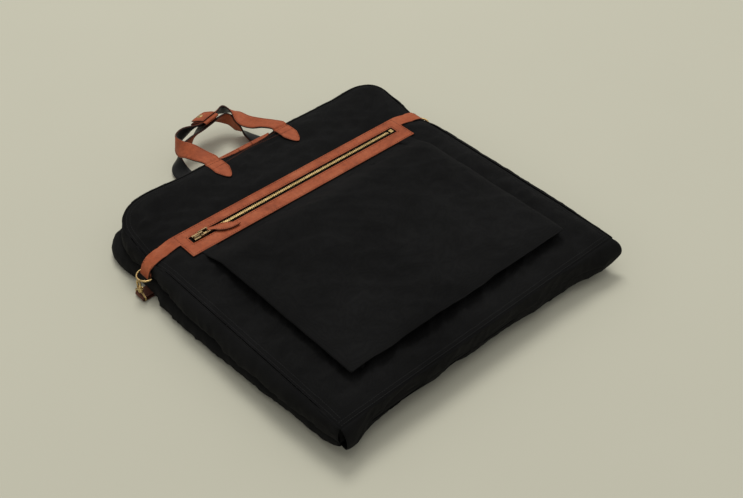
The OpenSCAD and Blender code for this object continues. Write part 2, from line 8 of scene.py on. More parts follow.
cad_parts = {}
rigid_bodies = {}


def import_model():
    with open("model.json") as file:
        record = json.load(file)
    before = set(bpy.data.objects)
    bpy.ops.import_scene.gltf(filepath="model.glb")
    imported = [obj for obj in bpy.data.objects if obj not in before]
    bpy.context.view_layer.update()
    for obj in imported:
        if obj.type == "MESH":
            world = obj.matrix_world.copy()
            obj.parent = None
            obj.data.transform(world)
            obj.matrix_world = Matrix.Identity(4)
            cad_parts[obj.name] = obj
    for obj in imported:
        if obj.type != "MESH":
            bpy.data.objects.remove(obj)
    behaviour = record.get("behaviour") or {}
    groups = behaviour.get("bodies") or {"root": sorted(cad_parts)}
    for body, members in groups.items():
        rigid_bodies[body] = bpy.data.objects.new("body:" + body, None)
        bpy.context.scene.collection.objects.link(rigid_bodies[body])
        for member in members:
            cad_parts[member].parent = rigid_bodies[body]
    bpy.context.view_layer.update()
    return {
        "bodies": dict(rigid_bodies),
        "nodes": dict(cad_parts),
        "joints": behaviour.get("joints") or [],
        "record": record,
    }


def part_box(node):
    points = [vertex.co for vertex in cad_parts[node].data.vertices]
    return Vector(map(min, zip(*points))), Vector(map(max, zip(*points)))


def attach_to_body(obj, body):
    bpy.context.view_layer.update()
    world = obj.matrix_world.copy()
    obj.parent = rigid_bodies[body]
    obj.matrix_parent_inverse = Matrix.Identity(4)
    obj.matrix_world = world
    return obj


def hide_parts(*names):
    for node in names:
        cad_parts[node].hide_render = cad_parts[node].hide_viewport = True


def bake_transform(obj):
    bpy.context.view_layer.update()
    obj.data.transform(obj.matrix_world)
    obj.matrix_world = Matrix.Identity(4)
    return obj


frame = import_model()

# A folded garment bag: two puffed canvas halves, a bellows pocket under a leather zip frame,
# two leather handles and a ring and snap hook on each side. Lengths here are millimetres;
# make_piece() turns them into the frame's metres.

MM = 0.001


def box_mm(node):
    """Lowest and highest corner of a CAD node, in millimetres."""
    lo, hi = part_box(node)
    return np.array(lo) / MM, np.array(hi) / MM


panel_lo, panel_hi = box_mm("front_panel")
pocket_lo, pocket_hi = box_mm("pocket_front")
SIDE_X, TOP_Y, FOLD_Y, TOTAL_T = panel_hi[0], panel_hi[1], panel_lo[1], panel_hi[2]
SHOULDER_R = 50.0
SEAM_IN = 1.6  # from a half's outer face to its edge seam
HALF_T = 34.0
FRONT_SEAM_Z = TOTAL_T - SEAM_IN
CANVAS_T = 1.3
FLOOR_GAP = 0.3  # no canvas comes nearer to the floor
LEATHER_T = 2.6

# Strap, zip frame and slot, as the CAD has them
STRAP_W = 25.0
ring_lo, ring_hi = box_mm("left_ring")
STRAP_Y = ring_lo[1] / 2 + ring_hi[1] / 2
FRAME_X, FRAME_TOP, FRAME_LOW = 240.5, STRAP_Y + STRAP_W / 2, STRAP_Y - 47.5
SLOT_X, SLOT_Y, SLOT_HALF = 222.0, STRAP_Y - 14.5, 8.0
LEG_X, LEG_Y, TAB_TIP_Y = 75.0, TOP_Y + 4.5, 237.5
HANDLE_W = 30.0
POCKET_X = (pocket_lo[0] + pocket_hi[0]) / 2
POCKET_HALF = (pocket_hi[0] - pocket_lo[0]) / 2
POCKET_LOW, POCKET_TOP = pocket_lo[1], FRAME_LOW - 0.4


# ---------------------------------------------------------------- materials


class Surface:
    """A material under construction: its principled shader and a way to add linked nodes."""

    def __init__(self, name, roughness=0.5, metallic=0.0, **sockets):
        self.material = bpy.data.materials.new(name)
        self.material.use_nodes = True
        self.tree = self.material.node_tree
        self.shader = self.tree.nodes["Principled BSDF"]
        self.shader.inputs["Roughness"].default_value = roughness
        self.shader.inputs["Metallic"].default_value = metallic
        for socket, value in sockets.items():
            self.shader.inputs[socket.replace("_", " ")].default_value = value
        self.place = self.tree.nodes.new("ShaderNodeTexCoord").outputs["Object"]

    def add(self, kind, inputs, **props):
        """A node of this kind; an input is a value or another node's output."""
        node = self.tree.nodes.new("ShaderNode" + kind)
        for key, value in props.items():
            setattr(node, key, value)
        for key, value in inputs.items():
            if isinstance(value, bpy.types.NodeSocket):
                self.tree.links.new(value, node.inputs[key])
            else:
                node.inputs[key].default_value = value
        return node

    def noise(self, scale, detail=3.0, roughness=0.5):
        return self.add(
            "TexNoise",
            {"Vector": self.place, "Scale": scale, "Detail": detail, "Roughness": roughness},
        ).outputs["Fac"]

    def band(self, axis, pitch_m):
        """Evenly spaced threads across an axis."""
        return self.add(
            "TexWave",
            {"Vector": self.place, "Scale": 2 * math.pi / (20 * pitch_m), "Distortion": 0.4,
             "Detail": 1.0},
            wave_type="BANDS", bands_direction=axis,
        ).outputs["Fac"]

    def cells(self, scale, feature="F1"):
        return self.add(
            "TexVoronoi", {"Vector": self.place, "Scale": scale}, feature=feature
        ).outputs["Distance"]

    def ramp(self, value, stops):
        """A greyscale or colour ramp through the stops, (place, colour)."""
        node = self.add("ValToRGB", {"Fac": value})
        node.color_ramp.elements[0].position = stops[0][0]
        node.color_ramp.elements[0].color = (*stops[0][1], 1)
        node.color_ramp.elements[1].position = stops[-1][0]
        node.color_ramp.elements[1].color = (*stops[-1][1], 1)
        for at, colour in stops[1:-1]:
            node.color_ramp.elements.new(at).color = (*colour, 1)
        return node.outputs["Color"]

    def math(self, how, a, b):
        return self.add("Math", {0: a, 1: b}, operation=how).outputs[0]

    def mix(self, how, factor, a, b):
        return self.add(
            "MixRGB", {"Fac": factor, "Color1": a, "Color2": b}, blend_type=how
        ).outputs["Color"]

    def colour(self, socket):
        self.tree.links.new(socket, self.shader.inputs["Base Color"])

    def roughness(self, value, low, high):
        spread = self.add(
            "MapRange", {"Value": value, "To Min": low, "To Max": high}
        ).outputs["Result"]
        self.tree.links.new(spread, self.shader.inputs["Roughness"])

    def bumps(self, *layers):
        """Bump layers from coarse to fine, each (height, strength, distance in metres)."""
        normal = None
        for height, strength, distance in layers:
            inputs = {"Height": height, "Strength": strength, "Distance": distance}
            if normal is not None:
                inputs["Normal"] = normal
            normal = self.add("Bump", inputs).outputs["Normal"]
        self.tree.links.new(normal, self.shader.inputs["Normal"])


def grey(value):
    return (value, value, value)


def cloth_material(name, dark, light, pitch_m, lint=0.05, roughness=0.9, sheen=0.01):
    """Plain-woven cloth with uneven dye and specks of lint."""
    s = Surface(name, roughness, Sheen_Weight=sheen, Sheen_Roughness=0.6)
    s.shader.inputs["Specular IOR Level"].default_value = 0.1
    dye = s.ramp(s.noise(7.0, 4.0, 0.6), [(0.3, dark), (0.7, light)])
    threads = s.math(
        "ADD", s.math("ADD", s.band("X", pitch_m), s.band("Y", pitch_m)), s.band("Z", pitch_m)
    )
    shaded = s.mix(
        "MULTIPLY", 0.55, dye, s.ramp(s.math("DIVIDE", threads, 3.0),
            [(0.2, grey(0.45)), (0.7, grey(1.3))])
    )
    specks = s.ramp(s.noise(620.0, 2.0, 0.7), [(0.66, grey(0.0)), (0.74, grey(1.0))])
    s.colour(s.mix("MIX", s.math("MULTIPLY", specks, lint), shaded, (0.16, 0.16, 0.15, 1)))
    s.roughness(s.noise(40.0), roughness - 0.06, min(1.0, roughness + 0.06))
    s.bumps((s.noise(15.0, 4.0), 0.4, 0.006), (s.noise(60.0, 3.0), 0.35, 0.0014),
        (threads, 0.45, 0.0002))
    return s.material


def leather_material(name, deep, middle, pale, roughness=0.5):
    """Grained leather: drifting tone, pores and a fine pebble."""
    s = Surface(name, roughness, Specular_IOR_Level=0.2)
    tone = s.ramp(s.noise(26.0, 5.0, 0.62), [(0.28, deep), (0.5, middle), (0.75, pale)])
    mottled = s.mix(
        "MULTIPLY", 0.5, tone, s.ramp(s.noise(210.0, 4.0, 0.65),
            [(0.3, grey(0.62)), (0.62, grey(1.12))])
    )
    pores = s.ramp(s.cells(1100.0), [(0.05, grey(0.55)), (0.3, grey(1.0))])
    s.colour(s.mix("MULTIPLY", 0.35, mottled, pores))
    s.roughness(s.noise(90.0, 3.0), roughness - 0.1, roughness + 0.12)
    s.bumps(
        (s.noise(60.0, 3.0), 0.18, 0.001),
        (s.cells(900.0, "DISTANCE_TO_EDGE"), 0.35, 0.00035),
        (s.noise(1500.0, 2.0), 0.2, 0.0002),
    )
    return s.material


def metal_material(name, dull, bright, roughness):
    """Cast brass: handling marks and slight tarnish in the hollows."""
    s = Surface(name, roughness, 1.0)
    s.colour(s.ramp(s.noise(130.0, 5.0, 0.65), [(0.3, dull), (0.68, bright)]))
    s.roughness(s.noise(260.0, 4.0, 0.7), roughness - 0.1, roughness + 0.15)
    s.bumps((s.noise(420.0, 3.0), 0.12, 0.0003), (s.noise(2600.0, 2.0), 0.1, 0.0001))
    return s.material


def plastic_material(name, dark, light, pitch_m):
    """Matte nylon with a fine moulded or coiled texture."""
    s = Surface(name, 0.55)
    s.colour(s.ramp(s.noise(160.0, 3.0), [(0.35, dark), (0.7, light)]))
    s.roughness(s.noise(300.0), 0.45, 0.65)
    s.bumps((s.band("Y", pitch_m), 0.5, 0.0004), (s.noise(1400.0), 0.2, 0.0001))
    return s.material


CANVAS = cloth_material("waxed_canvas", grey(0.0026), grey(0.0074), 0.0011, lint=0.07)
LINING = cloth_material("satin_lining", grey(0.028), grey(0.042), 0.0006, lint=0.0, roughness=0.6)
TAPE = cloth_material("woven_tape", grey(0.006), grey(0.011), 0.0008, lint=0.03)
WEBBING = cloth_material("elastic_webbing", grey(0.010), grey(0.02), 0.0016, lint=0.03)
THREAD = cloth_material("black_thread", grey(0.020), grey(0.034), 0.0004, lint=0.0, roughness=0.7)
LEATHER = leather_material("tan_leather", (0.25, 0.055, 0.019), (0.36, 0.083, 0.030),
    (0.43, 0.12, 0.05), 0.62)
DARK_LEATHER = leather_material("dark_leather", (0.05, 0.016, 0.009), (0.085, 0.027, 0.015),
    (0.13, 0.045, 0.026))
BLACK_LEATHER = leather_material("black_leather", grey(0.006), grey(0.011), grey(0.02), 0.45)
EDGE_PAINT = leather_material("painted_edge", (0.03, 0.011, 0.007), (0.055, 0.018, 0.011),
    (0.08, 0.03, 0.018), 0.4)
LEATHER_THREAD = cloth_material("brown_thread", (0.09, 0.027, 0.014), (0.15, 0.046, 0.025), 0.0004,
    lint=0.0, roughness=0.7)
BRASS = metal_material("brass", (0.34, 0.23, 0.085), (0.66, 0.48, 0.22), 0.34)
OLD_BRASS = metal_material("antique_brass", (0.13, 0.085, 0.04), (0.40, 0.29, 0.15), 0.42)
COIL = plastic_material("nylon_coil", grey(0.012), grey(0.025), 0.0012)
BUCKLE = plastic_material("moulded_nylon", grey(0.015), grey(0.03), 0.004)


# ---------------------------------------------------------------- mesh helpers


def make_piece(name, points, faces, materials, slots=None, smooth=True):
    """A mesh object from points in millimetres; slots gives each face's material."""
    mesh = bpy.data.meshes.new(name)
    mesh.from_pydata((np.asarray(points, float) * MM).tolist(), [], [list(f) for f in faces])
    for m in materials if isinstance(materials, (list, tuple)) else [materials]:
        mesh.materials.append(m)
    if slots is not None:
        mesh.polygons.foreach_set("material_index", np.asarray(slots, np.int32))
    mesh.polygons.foreach_set("use_smooth", [smooth] * len(faces))
    mesh.update()
    piece = bpy.data.objects.new(name, mesh)
    bpy.context.collection.objects.link(piece)
    return piece


def attach(piece, body, slot, *nodes):
    """Puts a piece on a body, in place of CAD nodes if any are named; slot is not used."""
    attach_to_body(piece, body)
    if nodes:
        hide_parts(*nodes)


def unit_rows(vectors):
    return vectors / np.linalg.norm(vectors, axis=1, keepdims=True)


def run_along(path):
    """Distance travelled to each point of a path."""
    return np.concatenate([[0], np.cumsum(np.linalg.norm(np.diff(path, axis=0), axis=1))])


def straight_up(count):
    return np.tile([0.0, 0.0, 1.0], (count, 1))


def grid_faces(rows, cols, start=0, keep=None):
    """Quads of a grid of points laid row after row; keep(row, col) drops cells."""
    return [
        (start + r * cols + c, start + r * cols + c + 1,
         start + (r + 1) * cols + c + 1, start + (r + 1) * cols + c)
        for r in range(rows - 1) for c in range(cols - 1)
        if keep is None or keep(r, c)
    ]


def point_normals(points, faces):
    normals = np.zeros_like(points)
    for count in (3, 4):
        f = np.array([x for x in faces if len(x) == count], int)
        if len(f):
            p = points[f]
            n = np.cross(p[:, 2] - p[:, 0], p[:, -1] - p[:, 1] if count == 4 else p[:, 2] - p[:, 1])
            for k in range(count):
                np.add.at(normals, f[:, k], n)
    length = np.linalg.norm(normals, axis=1, keepdims=True)
    return normals / np.maximum(length, 1e-12)


def rim_edges(faces):
    """Directed edges that only one face uses."""
    edges = {(a, b) for f in faces for a, b in zip(f, (*f[1:], f[0]))}
    return [(a, b) for f in faces for a, b in zip(f, (*f[1:], f[0])) if (b, a) not in edges]


def slab(points, faces, thickness):
    """A closed sheet: the faces, a copy pushed back along the normals, and a rounded rim.
    Returns points, faces and 1 for each rim face."""
    points = np.asarray(points, float)
    normals = point_normals(points, faces)
    n = len(points)
    rim = rim_edges(faces)
    on_rim = sorted({i for e in rim for i in e})
    outward = np.zeros((n, 3))
    for a, b in rim:
        side = np.cross(points[b] - points[a], normals[a])
        side /= max(np.linalg.norm(side), 1e-9)
        outward[a] += side
        outward[b] += side
    length = np.linalg.norm(outward, axis=1, keepdims=True)
    outward = outward / np.maximum(length, 1e-9)
    swell = min(0.3 * thickness, 0.6)
    middle = {i: 2 * n + k for k, i in enumerate(on_rim)}
    mids = [points[i] - normals[i] * thickness / 2 + outward[i] * swell for i in on_rim]
    every = np.vstack([points, points - normals * thickness, np.array(mids).reshape(-1, 3)])
    back = [tuple(n + i for i in reversed(f)) for f in faces]
    edge = []
    for a, b in rim:
        edge += [(b, a, middle[a], middle[b]), (middle[b], middle[a], a + n, b + n)]
    flags = [0] * (2 * len(faces)) + [1] * len(edge)
    return every, list(faces) + back + edge, flags


def make_sheet(name, points, faces, thickness, material, edge=None):
    """A piece that is a closed sheet; edge is the material of its rim, if that differs."""
    points, faces, rim = slab(points, faces, thickness)
    if edge is None:
        return make_piece(name, points, faces, material)
    return make_piece(name, points, faces, [material, edge], rim)


def tube(path, radius, closed=False, sides=10):
    """A round cord along a path; returns points and faces."""
    path = np.asarray(path, float)
    n = len(path)
    along = np.roll(path, -1, 0) - np.roll(path, 1, 0) if closed else np.gradient(path, axis=0)
    along = unit_rows(along)
    up = straight_up(n)
    steep = np.abs(along[:, 2]) > 0.9
    up[steep] = [1.0, 0.0, 0.0]
    a = unit_rows(np.cross(along, up))
    b = np.cross(a, along)
    turn = np.linspace(0, 2 * math.pi, sides, endpoint=False)
    points = (path[:, None] + radius * (np.cos(turn)[None, :, None] * a[:, None]
              + np.sin(turn)[None, :, None] * b[:, None])).reshape(-1, 3)
    faces = []
    for i in range(n if closed else n - 1):
        j = (i + 1) % n
        faces += [(i * sides + k, i * sides + (k + 1) % sides,
                   j * sides + (k + 1) % sides, j * sides + k) for k in range(sides)]
    if not closed:
        faces += [tuple(range(sides))[::-1], tuple(range((n - 1) * sides, n * sides))]
    return points, faces


class Stitches:
    """Collects sewn stitches, small pointed capsules half sunk in the surface."""

    def __init__(self):
        self.points, self.faces = [], []

    def add(self, at, along, up, length=3.2, radius=0.42):
        side = np.cross(along, up)
        start = sum(len(p) for p in self.points)
        ring = [(math.cos(t), math.sin(t)) for t in np.linspace(0, 2 * math.pi, 6, endpoint=False)]
        rows = [at + along * (x * length) + radius * (c * side + s * up)
                for x in (-0.33, 0.33) for c, s in ring]
        tips = [at - along * length / 2 - up * 0.2, at + along * length / 2 - up * 0.2]
        self.points.append(np.array(rows + tips))
        for k in range(6):
            a, b = start + k, start + (k + 1) % 6
            self.faces += [(a, a + 6, b + 6, b), (a, b, start + 12), (b + 6, a + 6, start + 13)]

    def row(self, path, ups, pitch=4.4, length=3.2, radius=0.42):
        """Stitches at an even pitch along a path, with the surface's normals."""
        path, ups = np.asarray(path, float), np.asarray(ups, float)
        run = run_along(path)

        def sample(values, s):
            return np.array([np.interp(s, run, values[:, k]) for k in range(3)])

        count = max(1, int(run[-1] / pitch))
        for s in (np.arange(count) + 0.5) * run[-1] / count:
            at, up = sample(path, s), sample(ups, s)
            along = sample(path, s + 1) - sample(path, s - 1)
            along /= max(np.linalg.norm(along), 1e-9)
            up -= along * (up @ along)
            self.add(at, along, up / np.linalg.norm(up), length, radius)

    def piece(self, name, material):
        return make_piece(name, np.vstack(self.points), self.faces, material)


# Sewing on the leather: edge rows, bar-tacks and the hook tabs
EDGE_SEWING = {"pitch": 4.2, "length": 3.0, "radius": 0.36}
TACK_SEWING = {"pitch": 3.6, "length": 2.6, "radius": 0.36}
TAB_SEWING = {"pitch": 3.6, "length": 2.5, "radius": 0.32}


def soften(piece, width_mm, segments=2):
    """Rounds the hard edges of a piece or a CAD node."""
    bevel = piece.modifiers.new("soft_edges", "BEVEL")
    bevel.width = width_mm * MM
    bevel.segments = segments
    bevel.limit_method = "ANGLE"
    bevel.angle_limit = math.radians(35)
    bevel.harden_normals = False


def smooth_step(value, low, high):
    t = np.clip((value - low) / (high - low), 0, 1)
    return t * t * (3 - 2 * t)


def drift(x, y, z, size, seed, octaves=2):
    """Smooth noise of about -1 to 1 at points in millimetres."""
    x, y, z = np.broadcast_arrays(np.asarray(x, float), y, z)
    flat = [
        noise.fractal(Vector((a / size + seed * 7.3, b / size - seed * 3.1, c / size + seed)), 1.0,
            2.0, octaves)
        for a, b, c in zip(x.ravel(), y.ravel(), z.ravel())
    ]
    return np.array(flat).reshape(x.shape)


def crease(x, y, size, seed, turn=0.0, stretch=3.0):
    """Narrow raised creases from 0 to 1 that run mostly one way."""
    c, s = math.cos(turn), math.sin(turn)
    u, v = (x * c + y * s) / stretch, -x * s + y * c
    return np.maximum(0, 1 - 3.2 * np.abs(drift(u, v, 0, size, seed, 1))) ** 2


# ---------------------------------------------------------------- the bag's soft surfaces


def half_width(y):
    """Half the panel's width at a height up the bag."""
    t = np.clip((y - (TOP_Y - SHOULDER_R)) / SHOULDER_R, 0, 1)
    return SIDE_X - SHOULDER_R + SHOULDER_R * np.sqrt(np.maximum(0, 1 - t * t))


def from_edge(x, y):
    """Distance in from the panel's sides, shoulders and top."""
    qx, qy = np.abs(x) - (SIDE_X - SHOULDER_R), y - (TOP_Y - SHOULDER_R)
    return SHOULDER_R - np.hypot(np.maximum(qx, 0),
        np.maximum(qy, 0)) - np.minimum(np.maximum(qx, qy), 0)


def panel_rows():
    straight = np.linspace(FOLD_Y, TOP_Y - SHOULDER_R, 92)
    turn = np.linspace(0, math.pi / 2, 11)[1:]
    return np.concatenate([straight, TOP_Y - SHOULDER_R + SHOULDER_R * np.sin(turn)])


def panel_columns():
    inner = np.linspace(-0.9, 0.9, 81)
    edge = 1 - 0.1 * np.linspace(1, 0, 7)[1:] ** 1.3
    return np.concatenate([-edge[::-1], inner, edge])


# Where each half's soft shoulders have settled: (place, how far it has moved)
FRONT_SLUMP = (((278.0, 268.0), (9.5, 8.0)), ((-278.0, 266.0), (7.0, -8.0)),
    ((-205.0, 292.0), (0.0, 4.5)))
BACK_SLUMP = (((276.0, 276.0), (5.0, 6.0)), ((-280.0, 240.0), (4.0, 0.0)),
    ((-190.0, FOLD_Y), (0.0, 7.0)),
              ((-110.0, FOLD_Y), (0.0, 7.0)), ((-30.0, FOLD_Y), (0.0, 7.0)),
                  ((50.0, FOLD_Y), (0.0, 4.0)))


def slump(x, y, shifts):
    moved_x, moved_y = x, y
    for (at_x, at_y), (by_x, by_y) in shifts:
        near = smooth_step(78 - np.hypot(x - at_x, y - at_y), 0, 78)
        moved_x, moved_y = moved_x + by_x * near, moved_y + by_y * near
    return moved_x, moved_y


def on_tabs(x, y, beside, beyond):
    """1 over a handle's two tabs, fading out over these distances beside and beyond them."""
    off = np.abs(np.abs(x) - LEG_X) - HANDLE_W / 2
    return (1 - smooth_step(off, 0, beside)) * smooth_step(y, TAB_TIP_Y - beyond, TAB_TIP_Y)


def under_leather(x, y):
    """1 where the zip frame, the strap ends or the handle tabs hold the front panel flat."""
    frame = (1 - smooth_step(np.abs(x) - FRAME_X, 0, 16)) * (
        1 - smooth_step(np.abs(y - (FRAME_TOP + FRAME_LOW) / 2) - (FRAME_TOP - FRAME_LOW) / 2, -2,
            20))
    strap = 1 - smooth_step(np.abs(y - STRAP_Y) - STRAP_W / 2, -2, 18)
    return np.maximum(np.maximum(frame, strap), on_tabs(x, y, 14, 14))


def front_height(x, y):
    """How far the front half's outer face stands above its edge seam."""
    side, fold = from_edge(x, y), y - FOLD_Y
    pillow = 4.3 * (1 - np.exp(-side / 9)) * (1 - np.exp(-fold / 12)) - 3.0 * np.exp(-fold / 35)
    belly = 3.0 * smooth_step(side, 10, 150) * smooth_step(fold, 5, 170)
    swell = 3.0 * drift(x, y, 0, 110, 1) * smooth_step(side, 0, 60) * smooth_step(fold, 0, 50)
    near = np.exp(-side / 26) + np.exp(-fold / 30)
    pucker = 1.1 * drift(x, y, 0, 17, 2) * np.minimum(near, 1) * smooth_step(np.minimum(side, fold),
        0, 8)
    folds = 4.2 * crease(x, y, 34, 3, 0.85) + 2.6 * crease(x, y, 30, 4, -0.7) + 2.0 * crease(x, y,
        20, 6, 0.1)
    folds *= smooth_step(side, 4, 30) * smooth_step(fold, 4, 30)
    corner = (np.exp(-np.hypot(x + 262, y - 236) / 34)
              + 0.7 * np.exp(-np.hypot(x - 250, y - 250) / 40))
    shoulder = 3.4 * np.sin((x - 0.9 * y) / 8.5) * corner * smooth_step(side, 2, 16)
    loose = belly + swell + pucker + folds + shoulder
    between = np.exp(-(x / 64) ** 4)
    crest = (4.5 - 8.0 * between) * smooth_step(y, 225, 286)
    beyond = np.hypot(np.maximum(np.abs(x - POCKET_X) - POCKET_HALF, 0),
        np.maximum(POCKET_LOW - y, 0))
    hollow = 5.0 * (1 - smooth_step(beyond, 4, 42)) * smooth_step(FRAME_LOW - y, 0,
        50) * smooth_step(fold, 0, 40)
    pulled = 9.0 * np.exp(-((y - STRAP_Y) / 26) ** 2) * smooth_step(np.abs(x), 240, 292)
    return pillow + crest - pulled - hollow + loose * (1 - under_leather(x, y))


def front_top(x, y):
    return FRONT_SEAM_Z + front_height(x, y)


# How far the back half's fold edge, its sides near the fold and its handle's tabs stand
# off the floor
FOLD_LIFT, SIDE_LIFT, TAB_LIFT = 21.0, 9.0, 3.4


def back_bottom(x, y):
    """Underside of the back half: on the floor, and lifted clear of its handle's tabs."""
    tab = on_tabs(x, y, 9, 8)
    side, fold = from_edge(x, y), y - FOLD_Y
    flat = 0.9 + 0.3 * drift(x, y, 0, 40, 8) ** 2
    ripple = 1 + 0.2 * drift(x, y, 0, 70, 9)
    lift = SEAM_IN * np.exp(-side / 7) + (FOLD_LIFT - 6.0 * smooth_step(x, 60,
        280)) * np.exp(-fold / 20) * ripple
    lift += SIDE_LIFT * np.exp(-side / 15) * smooth_step(70 - y, 0, 230) * ripple
    return np.maximum(flat, lift) * (1 - tab) + TAB_LIFT * tab


def outline_loop():
    """Points and outward directions round a panel, from the left end of the fold to the right."""
    ys = panel_rows()
    xs = half_width(ys)
    left = np.column_stack([-xs, ys])
    top = np.array([(u * xs[-1], TOP_Y) for u in panel_columns()[1:-1]])
    right = np.column_stack([xs, ys])[::-1]
    loop = np.vstack([left, top, right])
    centre = np.column_stack([np.sign(loop[:, 0]) * (SIDE_X - SHOULDER_R),
                              np.full(len(loop), TOP_Y - SHOULDER_R)])
    out = loop - centre
    out[loop[:, 1] <= TOP_Y - SHOULDER_R, 1] = 0
    out[np.abs(loop[:, 0]) < SIDE_X - SHOULDER_R + 1e-6, 0] = 0
    return loop, unit_rows(out)


BULGE_YS = (FOLD_Y, -262, -180, -90, 60, 118, 140, 186, 215, 240, 262, 282, TOP_Y)
FRONT_BULGE = (0.15, 0.5, 0.95, 1.1, 1.0, 0.8, 0.4, 0.4, 0.7, 0.5, 0.15, 0.25, 0.5)
BACK_BULGE = (0.05, 0.12, 0.45, 0.8, 1.1, 1.05, 0.6, 0.55, 0.85, 1.0, 1.1, 0.9, 0.5)


def side_bulge(loop, most, table):
    """How far the gusset stands out, by where it is along the outline."""
    y = loop[:, 1]
    return most * np.where(y > TOP_Y - 1e-6, 0.8, np.interp(y, BULGE_YS, table))


def gusset_rows(loop, out, top_z, low_z, most, table, sag, seed, rows=15):
    """Rows of points down the gusset, from the panel's seam to the inner seam."""
    bulge = side_bulge(loop, most, table)
    run = run_along(loop)
    calm = 1 - 0.75 * np.exp(-((loop[:, 1] - STRAP_Y) / 26) ** 2) * (np.abs(loop[:,
        0]) > SIDE_X - 2)
    calm = np.where(loop[:, 1] > TOP_Y - 1e-6, 1 - np.exp(-(loop[:, 0] / 70) ** 4), calm)
    made = []
    for turn in np.linspace(math.pi / 2, -math.pi / 2, rows)[1:]:
        c = math.cos(turn)
        z = (top_z + low_z) / 2 + (top_z - low_z) / 2 * math.sin(turn) - sag * c * bulge / most
        waves = (3.2 * drift(run, z, 0, 55, seed) + 1.6 * drift(run * 1.6, z, 0, 22, seed + 1)
                 + 1.9 * crease(run, z, 18, seed + 2, 1.1, 1.6)) * c * calm
        stand = bulge * c ** 0.75 + waves
        xy = loop + out * stand[:, None]
        made.append(np.column_stack([xy, np.maximum(z + 1.2 * drift(run, 0, z, 30, seed + 3) * c,
            2 * FLOOR_GAP)]))
    return made


def canvas_half(name, face_height, flipped, low_z, most, table, sag, seed, shifts):
    """One half's outer canvas: its outer panel and its gusset, as one closed sheet."""
    us, ys = panel_columns(), panel_rows()
    x = us[None, :] * half_width(ys)[:, None]
    y = np.repeat(ys[:, None], len(us), 1)
    face = np.dstack([*slump(x, y, shifts), face_height(x, y)]).reshape(-1, 3)
    cols, rows = len(us), len(ys)
    faces = grid_faces(rows, cols)
    edge = [r * cols for r in range(rows)] + [(rows - 1) * cols + c for c in range(1, cols - 1)]
    edge += [r * cols + cols - 1 for r in reversed(range(rows))]
    loop, out = outline_loop()
    loop = np.column_stack(slump(loop[:, 0], loop[:, 1], shifts))
    points, last = [face], edge
    start = len(face)
    for row in gusset_rows(loop, out, face[edge][:, 2], low_z, most, table, sag, seed):
        points.append(row)
        here = list(range(start, start + len(edge)))
        for i in range(len(edge) - 1):
            faces.append((last[i], here[i], here[i + 1], last[i + 1]))
        last, start = here, start + len(edge)
    if flipped:
        faces = [f[::-1] for f in faces]
    points, faces, _ = slab(np.vstack(points), faces, CANVAS_T)
    points[:, 2] = np.maximum(points[:, 2], FLOOR_GAP)
    return make_piece(name, points, faces, CANVAS)


outline, outward = outline_loop()
front_canvas = canvas_half("front_canvas", front_top, False, HALF_T + 2.4, 15.0, FRONT_BULGE, 6.5,
    11, FRONT_SLUMP)
attach(front_canvas, "front_half", "canvas", "front_panel", "front_gusset")

back_canvas = canvas_half("back_canvas", back_bottom, True, HALF_T - 0.4, 18.0, BACK_BULGE, 4.0, 21,
    BACK_SLUMP)
attach(back_canvas, "back_half", "canvas", "back_panel", "back_gusset")


def edge_piping(name, seam, lift, shifts, body, node, gap_at_tabs):
    """Piping sewn into the edge seam of an outer panel, left out at the handle's tabs if asked."""
    offset = 1.0
    heights = seam(outline[:, 0], outline[:, 1]) + lift
    settled = np.column_stack(slump(outline[:, 0], outline[:, 1], shifts))
    path = [(*(p + n * offset), z) for p, n, z in zip(settled, outward, heights)]
    if gap_at_tabs:
        runs, run = [], []
        for p in path:
            if p[1] > TOP_Y and abs(abs(p[0]) - LEG_X) < HANDLE_W / 2 + 2:
                if run:
                    runs.append(run)
                run = []
            else:
                run.append(p)
        runs.append(run)
    else:
        runs = [path]
    points, faces = [], []
    for run in runs:
        p, f = tube(run, 1.5)
        start = sum(len(x) for x in points)
        points.append(p)
        faces += [tuple(start + i for i in face) for face in f]
    attach(make_piece(name, np.vstack(points), faces, CANVAS), body, "canvas", node)


edge_piping("front_edge_piping", front_top, -0.1, FRONT_SLUMP, "front_half", "front_piping", False)
edge_piping("back_edge_piping", back_bottom, 0.3, BACK_SLUMP, "back_half", "back_piping", True)


def surface_path(points, height, lift=0.12):
    """A path laid on a height function, with the surface's normals."""
    points = np.asarray(points, float)
    x, y = points[:, 0], points[:, 1]
    h = 0.5
    z = height(x, y)
    normals = np.column_stack([
        -(height(x + h, y) - height(x - h, y)) / (2 * h),
        -(height(x, y + h) - height(x, y - h)) / (2 * h), np.ones(len(x))])
    normals = unit_rows(normals)
    return np.column_stack([*slump(x, y, FRONT_SLUMP), z]) + normals * lift, normals


def line(a, b, step=4.0):
    a, b = np.asarray(a, float), np.asarray(b, float)
    return a + (b - a) * np.linspace(0, 1, max(2, int(np.linalg.norm(b - a) / step)))[:, None]


# Two rows of topstitching round the front panel, and two beside the fold
front_seams = Stitches()
for inset in (4.5, 10.5):
    inside = outline - outward * inset
    inside = inside[inside[:, 1] > FOLD_Y + 8]
    front_seams.row(*surface_path(inside, front_top), pitch=4.0, length=3.0, radius=0.34)
for drop in (3.0, 8.5):
    front_seams.row(*surface_path(line((-SIDE_X + 3, FOLD_Y + drop), (SIDE_X - 3, FOLD_Y + drop)),
        front_top),
                    pitch=4.0, length=3.0, radius=0.4)
attach(front_seams.piece("front_topstitching", THREAD), "front_half", "zip_tape")


# ---------------------------------------------------------------- inner panels and their zips


